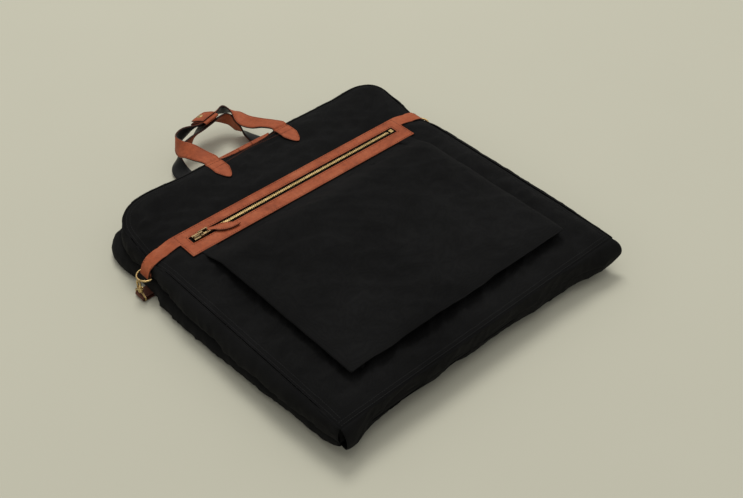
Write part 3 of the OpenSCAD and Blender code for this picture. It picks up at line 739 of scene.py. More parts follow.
def inner_panel(name, seam_z, toward, drop, lean, seed, body, nodes):
    """The face that the two halves turn to each other, open down the middle for the zip, with
    the wall that closes the half at the fold. toward is +1 if the half lies under this face."""
    ys = panel_rows()
    slot_lo, slot_hi = FOLD_Y + 20, TOP_Y - 50
    ys = np.unique(np.concatenate([ys[np.abs(ys - slot_hi) > 3], [slot_hi, slot_lo - 5, slot_lo]]))
    us = np.linspace(0, 1, 41)
    half = 9.0  # half the opening for the zip
    points, faces = [], []
    for side in (-1, 1):
        start = sum(len(p) for p in points)
        x = side * (half + us[None, :] * (half_width(ys)[:, None] - half))
        y = np.repeat(ys[:, None], len(us), 1)
        dip = (1 - np.exp(-from_edge(x, y) / 14)) * (1 - np.exp(-(y - FOLD_Y) / 14))
        slack = (1.3 + 1.1 * drift(x, y, 0, 60, seed) + 0.8 * crease(x, y, 26, seed + 1,
            0.5 * side)) * dip
        z = seam_z - toward * slack * smooth_step(np.abs(x) - half, 3, 30)
        grid = np.dstack([x, y, z]).reshape(-1, 3)
        f = grid_faces(len(ys), len(us), start)
        faces += [q[::-1] if side * toward < 0 else q for q in f]
        points.append(grid)
    ends = len(points[0])
    for r in range(len(ys) - 1):
        if ys[r + 1] <= slot_lo + 1e-6 or ys[r] >= slot_hi - 1e-6:
            a, b = r * len(us), (r + 1) * len(us)
            quad = (a, ends + a, ends + b, b)
            faces.append(quad if toward > 0 else quad[::-1])
    across = [i for i in reversed(range(len(us)))] + [ends + i for i in range(len(us))]
    last, start = across, 2 * ends
    wall_y, wall_rows = FOLD_Y + 0.2, 6
    for k in range(1, wall_rows + 1):
        share = k / wall_rows
        row = np.vstack(points)[across]
        puff = 1.8 * math.sin(math.pi * k / wall_rows)
        row[:, 1] = wall_y + lean * share ** 2 + puff * (1 + drift(row[:, 0], k * 9.0, 0, 45,
            seed + 5))
        row[:, 2] = seam_z - toward * drop * k / wall_rows
        points.append(row)
        here = list(range(start, start + len(across)))
        for i in range(len(across) - 1):
            quad = (last[i], last[i + 1], here[i + 1], here[i])
            faces.append(quad[::-1] if toward > 0 else quad)
        last, start = here, start + len(across)
    attach(make_sheet(name, np.vstack(points), faces, 1.0, CANVAS), body, "canvas", *nodes)
    hems = Stitches()
    z = seam_z + 0.06 * toward
    for side in (-1, 1):
        for inset in (12.0, 22.5):
            path = line((side * inset, slot_lo), (side * inset, slot_hi))
            path = np.column_stack([path, np.full(len(path), z)])
            up = np.tile([0.0, 0.0, float(toward)], (len(path), 1))
            hems.row(path, up, pitch=4.4, radius=0.34)
    attach(hems.piece(name.replace("canvas", "stitching"), THREAD), body, "zip_tape")


inner_panel("back_inner_canvas", HALF_T - 0.2, 1, 9.0, 5.0, 31, "back_half", ["back_inner_panel"])
inner_panel("front_inner_canvas", HALF_T + 2.2, -1, HALF_T - 9.0, 0.0, 41, "front_half",
    ["front_inner_panel"])


def lining(name, height, shifts, body, node):
    """A sheet of lining behind the outer panel."""
    inset = 12.0
    ys = np.linspace(FOLD_Y + 6, TOP_Y - inset, 70)
    us = np.linspace(-1, 1, 70)
    x = us[None, :] * (half_width(ys + inset) - inset)[:, None]
    y = np.repeat(ys[:, None], len(us), 1)
    grid = np.dstack([*slump(x, y, shifts), height(x, y)]).reshape(-1, 3)
    piece = make_sheet(name, grid, grid_faces(70, 70), 0.6, LINING)
    attach(piece, body, "lining", node)


lining("front_half_lining", lambda x, y: front_top(x, y) - 2.4 - CANVAS_T, FRONT_SLUMP,
    "front_half", "front_lining")
lining("back_half_lining", lambda x, y: back_bottom(x, y) + CANVAS_T + 1.6, BACK_SLUMP, "back_half",
    "back_lining")


def main_zip(side_name, toward):
    """Woven tape and nylon coil of a main zip. toward is +1 where the zip faces up."""
    lo, hi = FOLD_Y + 15, TOP_Y - 45
    ys = np.linspace(lo, hi, 140)
    xs = np.array([-17, -13, -8, -4, -1.2, 1.2, 4, 8, 13, 17.0])
    x, y = np.meshgrid(xs, ys)
    ribs = 0.12 * np.sin(y * 1.9)
    tape_box_lo, tape_box_hi = box_mm(f"{side_name}_zip_tape")
    outer = tape_box_hi[2] if toward > 0 else tape_box_lo[2]
    grid = np.dstack([x, y, outer + toward * (ribs - 0.15)]).reshape(-1, 3)
    faces = grid_faces(len(ys), len(xs))
    if toward < 0:
        faces = [f[::-1] for f in faces]
    tape = make_sheet(f"{side_name}_main_zip_tape", grid, faces, 1.0, TAPE)
    attach(tape, f"{side_name}_half", "zip_tape", f"{side_name}_zip_tape")
    coil_lo, coil_hi = box_mm(f"{side_name}_zip_coil")
    middle = (coil_lo[2] + coil_hi[2]) / 2
    points, faces = [], []
    pitch, sides = 2.2, 6
    for row in (-1, 1):
        start = sum(len(p) for p in points)
        turns = np.arange(coil_lo[1] + 1, coil_hi[1] - 1, pitch / sides)
        angle = np.arange(len(turns)) * 2 * math.pi / sides + (0 if row > 0 else math.pi)
        path = np.column_stack([row * 1.25 + 1.0 * np.cos(angle), turns,
            middle + 0.62 * np.sin(angle)])
        p, f = tube(path, 0.34, sides=4)
        points.append(p)
        faces += [tuple(start + i for i in q) for q in f]
    attach(make_piece(f"{side_name}_main_zip_coil", np.vstack(points), faces, COIL),
        f"{side_name}_half", "coil", f"{side_name}_zip_coil")


main_zip("back", 1)
main_zip("front", -1)


# ---------------------------------------------------------------- fold band


def fold_band(name, lower):
    """Half of the strip that joins the two outer panels at the fold, bulged outwards."""
    turns = np.linspace(-math.pi / 2, 0, 13) if lower else np.linspace(0, math.pi / 2, 13)
    xs = np.linspace(-SIDE_X, SIDE_X, 130)
    rows = []
    for turn in turns:
        c, s = math.cos(turn), math.sin(turn)
        ends = smooth_step(SIDE_X - np.abs(xs), -6, 30)
        high = front_top(xs, FOLD_Y + 0 * xs) - 0.2
        low = back_bottom(xs, FOLD_Y + 0 * xs) + 0.2
        z = (high + low) / 2 + (high - low) / 2 * s - c * (
            2.0 * ends + 8.0 * smooth_step(-xs, 225, 285) + 6.0 * smooth_step(xs, 200, 285))
        waves = (4.5 * drift(xs, z, 0, 62, 61) + 1.6 * drift(xs, z, 0, 24, 62)
                 + 1.8 * crease(xs, z, 20, 63, 1.1, 1.5)) * c ** 0.8 * ends
        reach = 2.0 + 0.5 * ends + 15.0 * smooth_step(xs, 180, 285) + 12.0 * smooth_step(-xs, 225,
            285)
        out_x = 11.0 * smooth_step(xs, SIDE_X - 30, SIDE_X) * c
        tuck = (slump(xs, FOLD_Y + 0 * xs, BACK_SLUMP)[1] - FOLD_Y) * (1 - s) / 2
        rows.append(np.column_stack([xs + out_x, FOLD_Y - 0.2 + tuck - reach * c ** 0.75 - waves,
            z]))
    grid = np.vstack(rows)
    faces = grid_faces(len(turns), len(xs))
    piece = make_sheet(name, grid, faces, CANVAS_T, CANVAS)
    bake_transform(piece)
    return piece


lower_band = fold_band("fold_band_lower", True)
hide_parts("fold_band")
fold_band("fold_band_upper", False)


# ---------------------------------------------------------------- leather strap and zip frame


def leather_base(x, y):
    """Height of the leather's underside over the panel, smoother than the canvas."""
    return front_top(x, y) + 0.35


# The strap's underside beyond the panel, on the left: over the edge, down and round the ring's
# bar and up behind itself. Points are (distance out from the middle, height).
STRAP_OVER_EDGE = [
    (276, 67.0), (286, 64.2), (294, 60.6), (299.2, 56), (301.7, 51), (303.6, 46.5), (304.8, 43),
    (304.8, 41), (303.9, 39.9), (302.4, 39.9), (301.3, 41), (301.0, 44), (300.5, 48), (300.0, 51)]


def strap_path(side):
    """Points (x, z) of the strap's underside from the panel's edge on, at an even pitch."""
    lead = [(u, float(leather_base(np.array([side * u]), np.array([STRAP_Y]))[0])) for u in (250,
        259, 268)]
    pts = np.array(lead + STRAP_OVER_EDGE, float)
    fine = []
    for i in range(len(pts) - 1):
        quad = [pts[max(0, min(len(pts) - 1, i + k))] for k in (-1, 0, 1, 2)]
        for t in np.linspace(0, 1, 12, endpoint=False):
            fine.append(catmull(*quad, t))
    fine = np.array([*fine, pts[-1]])
    run = run_along(fine)
    even = np.linspace(0, run[-1], int(run[-1] / 1.6))
    return np.column_stack([np.interp(even, run, fine[:, 0]) * side,
        np.interp(even, run, fine[:, 1])])


def catmull(a, b, c, d, t):
    """The point at t from b to c on a smooth curve through four points."""
    return 0.5 * (2 * b + (c - a) * t + (2 * a - 5 * b + 4 * c - d) * t * t
                  + (3 * b - a - 3 * c + d) * t ** 3)


def zip_frame():
    """One piece of leather: the frame round the zip slot and the strap's two ends."""
    right, left = strap_path(1), strap_path(-1)
    inner = np.concatenate([
        np.linspace(-FRAME_X, -SLOT_X, 6), np.linspace(-SLOT_X, SLOT_X, 112)[1:-1],
            np.linspace(SLOT_X, FRAME_X, 6)])
    bridge = 250.0
    xs = np.concatenate([left[::-1, 0], [-bridge + 3, -FRAME_X - 3], inner,
        [FRAME_X + 3, bridge - 3], right[:, 0]])
    zs = np.concatenate([left[::-1, 1], np.full(2 + len(inner) + 2, np.nan), right[:, 1]])
    lo, hi = FRAME_LOW, FRAME_TOP
    strap_lo = STRAP_Y - STRAP_W / 2
    ys = np.unique(np.round(np.concatenate([
        np.linspace(lo, SLOT_Y - SLOT_HALF, 8), np.linspace(SLOT_Y - SLOT_HALF, strap_lo, 3),
        np.linspace(strap_lo, SLOT_Y + SLOT_HALF, 3), np.linspace(SLOT_Y + SLOT_HALF, hi, 7)]), 3))
    x, y = np.meshgrid(xs, ys)
    z = np.where(np.isnan(zs)[None, :], leather_base(x, y), zs[None, :] + 0 * y)
    y = y - (y - STRAP_Y) * 0.13 * smooth_step(66 - z, 0, 13) * (np.abs(x) > 290)
    grid = np.dstack([x, y, z]).reshape(-1, 3)

    def keep(r, c):
        mx, my = (xs[c] + xs[c + 1]) / 2, (ys[r] + ys[r + 1]) / 2
        if abs(mx) > FRAME_X or np.isfinite(zs[c]) or np.isfinite(zs[c + 1]):
            return my > strap_lo
        return not (abs(mx) < SLOT_X and abs(my - SLOT_Y) < SLOT_HALF)

    faces = grid_faces(len(ys), len(xs), keep=keep)
    used = sorted({i for f in faces for i in f})
    index = {i: k for k, i in enumerate(used)}
    faces = [tuple(index[i] for i in f) for f in faces]
    grid = grid[used]
    thick = np.where(np.abs(grid[:, 0]) > 292, 1.9, LEATHER_T)
    top = grid + point_normals(grid, faces) * thick[:, None]
    attach(make_sheet("leather_zip_frame", top, faces, LEATHER_T - 0.4, LEATHER, EDGE_PAINT),
        "front_half", "leather", "zip_frame", "zip_stay")

    def top_of(x, y):
        return leather_base(x, y) + LEATHER_T

    sewn = Stitches()
    e = 2.6
    outer = [(-FRAME_X + e, hi - e), (FRAME_X - e, hi - e), (FRAME_X - e, lo + e),
        (-FRAME_X + e, lo + e), (-FRAME_X + e, hi - e)]
    slot = [(-SLOT_X - e, SLOT_Y + SLOT_HALF + e), (SLOT_X + e, SLOT_Y + SLOT_HALF + e),
            (SLOT_X + e, SLOT_Y - SLOT_HALF - e), (-SLOT_X - e, SLOT_Y - SLOT_HALF - e),
                (-SLOT_X - e, SLOT_Y + SLOT_HALF + e)]
    for ring in (outer, slot):
        for a, b in zip(ring, ring[1:]):
            sewn.row(*surface_path(line(a, b), top_of), **EDGE_SEWING)
    for side, path in ((-1, left), (1, right)):
        tangent = unit_rows(np.gradient(path, axis=0))
        out = np.column_stack([-tangent[:, 1], tangent[:, 0]]) * side
        face = path + out * 2.25
        visible = path[:, 1] > 56
        visible &= np.arange(len(path)) < np.argmin(path[:, 1])
        for y in (strap_lo + e, hi - e):
            points = np.column_stack([face[visible, 0], np.full(visible.sum(), y),
                face[visible, 1]])
            ups = np.column_stack([out[visible, 0], np.zeros(visible.sum()), out[visible, 1]])
            sewn.row(points, ups, **EDGE_SEWING)
        # the bar-tack where the strap's end is sewn down: a cross line and a triangle
        u = side * 284.0
        k = int(np.argmin(np.abs(path[: len(path) // 2, 0] - u)))
        marks = [((u, strap_lo + e), (u, hi - e)), ((u, strap_lo + e), (u - side * 11, STRAP_Y)),
            ((u - side * 11, STRAP_Y), (u, hi - e))]
        for a, b in marks:
            pts = line(a, b, 1.5)
            z = np.interp(pts[:, 0] * side, path[: k + 12, 0] * side, path[: k + 12, 1]) + 2.25
            ups = straight_up(len(pts))
            sewn.row(np.column_stack([pts, z]), ups, **TACK_SEWING)
    attach(sewn.piece("zip_frame_stitching", LEATHER_THREAD), "front_half", "leather")


zip_frame()


# ---------------------------------------------------------------- pocket zip


tape_top = box_mm("pocket_zip_tape")[1][2]
for side, name in ((1, "upper"), (-1, "lower")):
    xs = np.linspace(-SLOT_X + 0.5, SLOT_X - 0.5, 220)
    ys = SLOT_Y + side * np.array([1.0, 1.6, 2.3, 3.5, 5.5, SLOT_HALF + 1.5])
    x, y = np.meshgrid(xs, ys)
    cord = 0.55 * np.exp(-((np.abs(y - SLOT_Y) - 1.7) / 0.7) ** 2)
    grid = np.dstack([x, y, tape_top - 0.5 + cord + 0.08 * np.sin(x * 2.2)]).reshape(-1, 3)
    faces = grid_faces(len(ys), len(xs))
    if side < 0:
        faces = [f[::-1] for f in faces]
    tape = make_sheet(f"pocket_zip_tape_{name}", grid, faces, 0.9, TAPE)
    attach(tape, "front_half", "zip_tape")
    if side > 0:
        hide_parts("pocket_zip_tape")

link_lo, link_hi = box_mm("pocket_pull_link")


def pull_leaf():
    """Leather leaf on the slider's link: a narrow neck, a long leaf and a stitched edge."""
    root = np.array([link_hi[0] - 0.9, SLOT_Y, (link_lo[2] + link_hi[2]) / 2])
    turn = math.radians(-24.0)
    ahead = np.array([math.cos(turn), math.sin(turn)])
    across = np.array([-math.sin(turn), math.cos(turn)])
    long, widest = 54.0, 8.2
    along = np.concatenate([np.linspace(0, 10, 8), np.linspace(10, long, 34)[1:]])
    leaf = np.sin(np.pi * np.clip((along - 8) / (long - 8), 0, 1) ** 0.85) ** 0.72 * widest
    half = np.maximum(np.where(along < 14, 3.3, 0.0), leaf)
    half[-1] = 0.4
    us = np.linspace(-1, 1, 9)
    lift = np.interp(along, [0, 6, 16, 40, long], [0.9, 1.3, 0.9, 0.4, 0.9])
    rows = []
    for a, w, z in zip(along, half, lift):
        xy = root[:2] + ahead * (a - 1.0) + us[:, None] * w * across
        rows.append(np.column_stack([xy, root[2] + z + 0.25 * np.cos(us * math.pi)]))
    grid = np.vstack(rows)
    faces = [f[::-1] for f in grid_faces(len(along), len(us))]
    attach(make_sheet("pocket_pull_leather", grid, faces, 2.2, LEATHER, EDGE_PAINT), "pocket_pull",
        "leather", "pocket_pull_leaf")
    sewn = Stitches()
    start = 9
    for side in (-1, 1):
        path = np.array([
            (*(root[:2] + ahead * (a - 1.0) + side * max(w - 1.6, 0.6) * across), root[2] + z + 0.1)
            for a, w, z in zip(along[start:-2], half[start:-2], lift[start:-2])])
        sewn.row(path, straight_up(len(path)), pitch=3.4, length=2.3, radius=0.3)
    attach(sewn.piece("pocket_pull_stitching", LEATHER_THREAD), "pocket_pull", "leather")


pull_leaf()


# ---------------------------------------------------------------- bellows pocket


POCKET_R = 3.5
EDGE_Z, BELLOWS_IN = 87.5, 26.0


def pocket_edge_z(x, y):
    """Height of the pocket's edge seam: low under the frame, then full height and sagging."""
    rise = smooth_step(POCKET_TOP - y, -2, 58)
    sag = 1.8 * drift(x, y, 0, 75, 71) + 0.8 * drift(x, y, 0, 26, 72)
    corner = -1.5 * np.exp(-np.hypot(np.abs(x - POCKET_X) - POCKET_HALF, y - POCKET_LOW) / 40)
    return 73.4 + (EDGE_Z - 73.4 + sag + corner) * rise


def pocket():
    """Outer sheet of the pocket with the turned-under part that leads to the bellows."""
    curve = POCKET_LOW + POCKET_R * (1 - np.cos(np.linspace(0, math.pi / 2, 6)))
    ys = np.concatenate([curve, np.linspace(POCKET_LOW + POCKET_R, POCKET_TOP + 7, 66)[1:]])
    dy = np.clip(POCKET_LOW + POCKET_R - ys, 0, POCKET_R)
    wide = POCKET_HALF - POCKET_R + np.sqrt(np.maximum(POCKET_R ** 2 - dy ** 2, 0))
    us = np.concatenate([-1 + 0.06 * np.linspace(0, 1, 5)[:-1] ** 1.2, np.linspace(-0.94, 0.94, 76),
        1 - 0.06 * np.linspace(1, 0, 5)[1:] ** 1.2])
    x = POCKET_X + us[None, :] * wide[:, None]
    y = np.repeat(ys[:, None], len(us), 1)
    y = y + 2.5 * drift(x, 0, 0, 70, 77) * smooth_step(POCKET_LOW + 60 - y, 0, 60)
    qx, qy = np.abs(x - POCKET_X) - (POCKET_HALF - POCKET_R), POCKET_LOW + POCKET_R - y
    d = POCKET_R - np.hypot(np.maximum(qx, 0), np.maximum(qy, 0)) - np.minimum(np.maximum(qx, qy),
        0)
    d = np.maximum(d, 0)
    top = np.maximum(POCKET_TOP - y, 0)
    pillow = 4.0 * (1 - np.exp(-d / 9)) * smooth_step(top, -4, 45)
    belly = 2.0 * smooth_step(d, 5, 130) * smooth_step(top, 0, 140)
    loose = smooth_step(d, 0, 22) * smooth_step(top, 0, 30)
    folds = (1.3 * drift(x, y, 0, 105, 73) + 0.7 * drift(x, y, 0, 42, 74)
             + 2.0 * crease(x, y, 36, 75, -0.75) + 1.7 * crease(x, y, 30, 76, 0.85)) * loose
    pucker = 0.7 * drift(x, y, 0, 15, 78) * np.exp(-d / 22) * smooth_step(d, 0,
        6) * smooth_step(top, 4, 40)
    z = pocket_edge_z(x, y) + pillow + belly + folds + pucker
    z = np.where(y > POCKET_TOP - 0.5, 72.3, z)
    cols, rows = len(us), len(ys)
    grid = np.dstack([x, y, z]).reshape(-1, 3)
    faces = grid_faces(rows, cols)
    edge = [r * cols for r in reversed(range(rows))] + list(range(1,
        cols - 1)) + [r * cols + cols - 1 for r in range(rows)]
    rim = grid[edge]
    out = rim[:, :2] - np.column_stack([
        POCKET_X + np.clip(rim[:, 0] - POCKET_X, -POCKET_HALF + POCKET_R, POCKET_HALF - POCKET_R),
        np.maximum(rim[:, 1], POCKET_LOW + POCKET_R)])
    out /= np.maximum(np.linalg.norm(out, axis=1, keepdims=True), 1e-9)
    points, last, start = [grid], edge, len(grid)
    under = smooth_step(POCKET_TOP - rim[:, 1], 0, 40)
    profile = [(0.2, 1.5), (4.0, 2.2), (10.0, 2.9), (17.0, 3.6), (BELLOWS_IN, 4.2)]
    for inset, drop in profile:
        xy = rim[:, :2] - out * inset
        floor = front_top(xy[:, 0], xy[:, 1]) + 1.2
        row = np.column_stack([xy, np.maximum(rim[:, 2] - drop * under - 0.3, floor)])
        points.append(row)
        here = list(range(start, start + len(edge)))
        for i in range(len(edge) - 1):
            faces.append((last[i + 1], last[i], here[i], here[i + 1]))
        last, start = here, start + len(edge)
    mouth = points[-1]
    piece = make_sheet("pocket_canvas", np.vstack(points), faces, CANVAS_T, CANVAS)
    attach(piece, "front_half", "canvas", "pocket_front")

    # bellows: a folded wall from the turned-under edge down to the panel
    rows_made = []
    for depth, inset in [(0.0, 0.0), (0.3, 3.0), (0.65, -2.0), (1.0, 0.5)]:
        xy = mouth[:, :2] - out * (inset + 0.5)
        low = front_top(xy[:, 0], xy[:, 1]) - 0.8
        rows_made.append(np.column_stack([xy, mouth[:, 2] + (low - mouth[:, 2]) * depth]))
    faces = grid_faces(4, len(mouth))
    attach(make_sheet("pocket_bellows_canvas", np.vstack(rows_made), faces, 1.0, CANVAS),
        "front_half", "canvas", "pocket_bellows")


pocket()


# ---------------------------------------------------------------- handles


class Ribbon:
    """A strap's middle line, sampled evenly, with the way its width and its inner side point."""

    def __init__(self, stations, step=3.0):
        points = np.array([s[0] for s in stations], float)
        widths = np.array([s[1] for s in stations], float)
        n = len(points)
        fine = []
        for i in range(n - 1):
            k = [max(0, min(n - 1, i + o)) for o in (-1, 0, 1, 2)]
            for t in np.linspace(0, 1, 24, endpoint=False):
                fine.append(np.concatenate([catmull(*points[k], t), catmull(*widths[k], t)]))
        fine = np.array([*fine, np.concatenate([points[-1], widths[-1]])])
        run = run_along(fine[:, :3])
        self.run = np.linspace(0, run[-1], int(run[-1] / step) + 1)
        even = np.column_stack([np.interp(self.run, run, fine[:, k]) for k in range(6)])
        self.at = even[:, :3]
        self.along = unit_rows(np.gradient(self.at, axis=0))
        raw = even[:, 3:]
        self.across = unit_rows(raw - (raw * self.along).sum(1, keepdims=True) * self.along)
        self.inward = np.cross(self.along, self.across)

    def side(self, w, d):
        """Points at a distance across the strap and in to its inner side."""
        w = np.broadcast_to(w, len(self.run))[:, None]
        return self.at + w * self.across + d * self.inward


def sweep(ribbon, half, lo, hi, corner=0.7):
    """A strap with rounded edges; the flags are 1 on its two edges."""
    spread = np.linspace(-1, 1, 7)
    middle = lo / 2 + hi / 2
    section = [(u, lo) for u in spread] + [(1, middle)]
    section += [(u, hi) for u in spread[::-1]] + [(-1, middle)]
    n = len(section)
    points = []
    for w, d in section:
        on_edge = abs(w) == 1
        inner = half - corner if on_edge and d in (lo, hi) else half
        points.append(ribbon.side(np.sign(w) * inner if on_edge else w * (half - corner), d))
    points = np.stack(points, 1).reshape(-1, 3)
    faces, flags = [], []
    for i in range(len(ribbon.run) - 1):
        for k in range(n):
            a, b = i * n + k, i * n + (k + 1) % n
            faces.append((a, a + n, b + n, b))
            flags.append(1 if k in (6, 7, 14, 15) else 0)
    last = (len(ribbon.run) - 1) * n
    faces += [tuple(range(n)), tuple(last + k for k in reversed(range(n)))]
    flags += [1, 1]
    return points, faces, flags


FRONT_LOOP = [
    ((-79, 318, 74), (1, 0, .15)), ((-84, 345, 72), (.85, 0, .5)), ((-86, 372, 64), (.5, 0, .85)),
    ((-76, 402, 56), (.1, -.05, 1)), ((-52, 418, 53), (0, -.2, 1)),
        ((-18, 421, 53), (.15, -.75, .6)),
    ((5, 427, 53), (.235, -.875, .423)), ((28, 433, 53), (.15, -.75, .6)),
        ((50, 431, 53), (-.25, -.4, .85)),
    ((63, 410, 51), (-.8, -.35, .5)), ((61, 380, 50), (-1, -.1, -.1)),
        ((64, 350, 58), (-1, 0, -.25)),
    ((70, 322, 69), (-1, 0, -.05))]
BACK_LOOP = [
    ((-80, 325, 3), (-1, 0, 0)), ((-86, 355, 5), (-1, 0, -.1)), ((-88, 384, 13), (-.8, 0, -.6)),
    ((-72, 404, 25), (-.3, .1, -.95)), ((-45, 409, 36), (0, .3, -.95)),
        ((-18, 416, 43), (-.15, .75, -.6)),
    ((5, 423.5, 45.5), (-.235, .875, -.423)), ((28, 428, 43), (-.15, .75, -.6)),
        ((50, 420, 38), (0, .3, -.95)),
    ((57, 402, 26), (.3, 0, -.95)), ((67, 384, 13), (.8, 0, -.6)), ((76, 355, 5), (1, 0, -.1)),
    ((77, 325, 3), (1, 0, 0))]
FOOT_YS = (TAB_TIP_Y, 243.0, 252.0, 264.0, 276.0, 285.0, 291.0)


def handle(name, loop, foot_z, leg_z, facing, nodes, lining_node):
    """A handle with its sewn feet, one strap from tip to tip. facing is the way its width
    points at the left foot."""
    def foot(x, way):
        return [((x, y, foot_z(x, y)), (way * facing, 0, 0)) for y in FOOT_YS] + [
            ((x, LEG_Y, leg_z), (way * facing, 0, 0))]

    stations = foot(-LEG_X, 1) + list(loop) + foot(LEG_X, -1)[::-1]
    ribbon = Ribbon(stations, 2.4)
    ends = np.minimum(ribbon.run, ribbon.run[-1] - ribbon.run)
    half = HANDLE_W / 2 * np.clip(ends / 24, 0, 1) ** 0.55
    half = np.maximum(half, 0.9)
    points, faces, edge = sweep(ribbon, half, -1.8, 0.4)
    leather = make_piece(f"{name}_leather", points, faces, [LEATHER, EDGE_PAINT], edge)

    def join(piece):
        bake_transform(piece)

    join(leather)
    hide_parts(*nodes)

    free = Ribbon([s for s in stations if s[0][1] > TOP_Y - 3], 2.4)
    points, faces, _ = sweep(free, np.full(len(free.run), HANDLE_W / 2 - 0.5), 0.42, 1.6)
    inner = make_piece(f"{name}_inside", points, faces, BLACK_LEATHER)
    join(inner)
    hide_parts(lining_node)

    sewn = Stitches()
    inset = np.maximum(half - 2.4, 0.0)
    face = -1.82  # just outside the leather's face
    used = ends > 6
    for side in (-1, 1):
        sewn.row(ribbon.side(side * inset, face)[used], -ribbon.inward[used], **EDGE_SEWING)
    # each foot is sewn down across its middle, with a triangle towards the loop
    for first in (True, False):
        at = [int(np.argmin(np.abs(ends[:200] - s))) for s in (34.0, 48.0)]
        if not first:
            at = [len(ends) - 1 - k for k in at]
        base, tip = at
        left, right = ribbon.side(-inset, face), ribbon.side(inset, face)
        centre = ribbon.side(0.0, face)
        for a, b in ((left[base], right[base]), (left[tip], right[tip]), (left[tip], centre[base]),
                (centre[base], right[tip])):
            path = line(a, b, 1.5)
            sewn.row(path, np.tile(-ribbon.inward[base], (len(path), 1)), **TACK_SEWING)
    join(sewn.piece(f"{name}_stitching", LEATHER_THREAD))


def front_foot(x, y):
    return float(front_top(np.array([x]), np.array([y]))[0]) + 0.45 + 0.4


BACK_FOOT_Z = 2.6
handle("front_handle", FRONT_LOOP, front_foot, 76.2, 1,
       ["front_handle_strap", "front_handle_tabs"], "front_handle_lining")
handle("back_handle", BACK_LOOP, lambda x, y: BACK_FOOT_Z, BACK_FOOT_Z, -1,
       ["back_handle_strap", "back_handle_tabs"], "back_handle_lining")


# Keeper: a leather sleeve round the front handle's grip, with a flap that snaps over it
KEEPER = (Matrix.Translation(Vector((5.0, 427.0, 53.0)))
          @ Matrix.Rotation(math.radians(15), 4, "Z") @ Matrix.Rotation(math.radians(-25), 4, "X"))


def on_keeper(points):
    m = np.array(KEEPER)
    return np.asarray(points, float) @ m[:3, :3].T + m[:3, 3]


FLAP_Z = 8.0  # the flap's top over the sleeve's middle


def flap_fall(v):
    """How far the flap curves down, towards its hinge and towards its free edge."""
    return 0.012 * np.maximum(0, -v - 4) ** 2 + 0.016 * np.maximum(0, v - 10) ** 2


def keeper():
    """Leather sleeve round both handles' grips, and its flap."""
    around = 40
    turn = np.linspace(0, 2 * math.pi, around, endpoint=False)
    wide, high, long = 20.6, 4.3, 36.0
    c, s = np.cos(turn), np.sin(turn)
    ring_y = np.sign(c) * np.abs(c) ** 0.55 * wide
    ring_z = np.sign(s) * np.abs(s) ** 0.8 * high
    xs = np.concatenate([[-long / 2], np.linspace(-long / 2 + 0.8, long / 2 - 0.8, 15), [long / 2]])
    rows = []
    for x in xs:
        puff = 1 + 0.05 * math.cos(math.pi * x / long)
        rows.append(np.column_stack([np.full(around, x), ring_y * puff, ring_z * puff]))
    faces = []
    for r in range(len(xs) - 1):
        here, above = r * around, (r + 1) * around
        for k in range(around):
            j = (k + 1) % around
            faces.append((here + k, above + k, above + j, here + j))
    points, faces, rim = slab(np.vstack(rows), [f[::-1] for f in faces], 1.7)
    attach(make_piece("keeper_sleeve", on_keeper(points), faces, [LEATHER, EDGE_PAINT], rim),
        "front_handle", "leather", "keeper_wrap")

    # flap: flat over the snap, rolled down at its outer edge
    vs = np.linspace(-15.5, 20.5, 26)
    half = np.interp(vs, [-15.5, 13, 17.5, 20.5], [17.2, 17.2, 15.5, 11.0])
    us = np.linspace(-1, 1, 19)
    rows = []
    for v, w in zip(vs, half):
        z = FLAP_Z - flap_fall(v)
        rows.append(np.column_stack([us * w, np.full(len(us), v),
            z + 0.25 * np.cos(us * math.pi / 2)]))
    grid = np.vstack(rows)
    points, faces, rim = slab(grid, grid_faces(len(vs), len(us)), 1.9)
    attach(make_piece("keeper_flap_leather", on_keeper(points), faces, [LEATHER, EDGE_PAINT], rim),
        "keeper_flap", "leather", "keeper_flap")
    sewn = Stitches()
    edge = [(-14.8, -13.5), (14.8, -13.5), (14.8, 12.5), (9.5, 18.2), (-9.5, 18.2), (-14.8, 12.5),
        (-14.8, -13.5)]
    for a, b in zip(edge, edge[1:]):
        path = line(a, b, 1.5)
        v = path[:, 1]
        z = FLAP_Z + 0.05 - flap_fall(v)
        up = np.tile(on_keeper([[0, 0, 1]])[0] - on_keeper([[0, 0, 0]])[0], (len(path), 1))
        sewn.row(on_keeper(np.column_stack([path, z + 0.15])), up, pitch=3.6, length=2.4,
            radius=0.32)
    attach(sewn.piece("keeper_flap_stitching", LEATHER_THREAD), "keeper_flap", "leather")


keeper()


# ---------------------------------------------------------------- hook tabs, strap, hanger patch


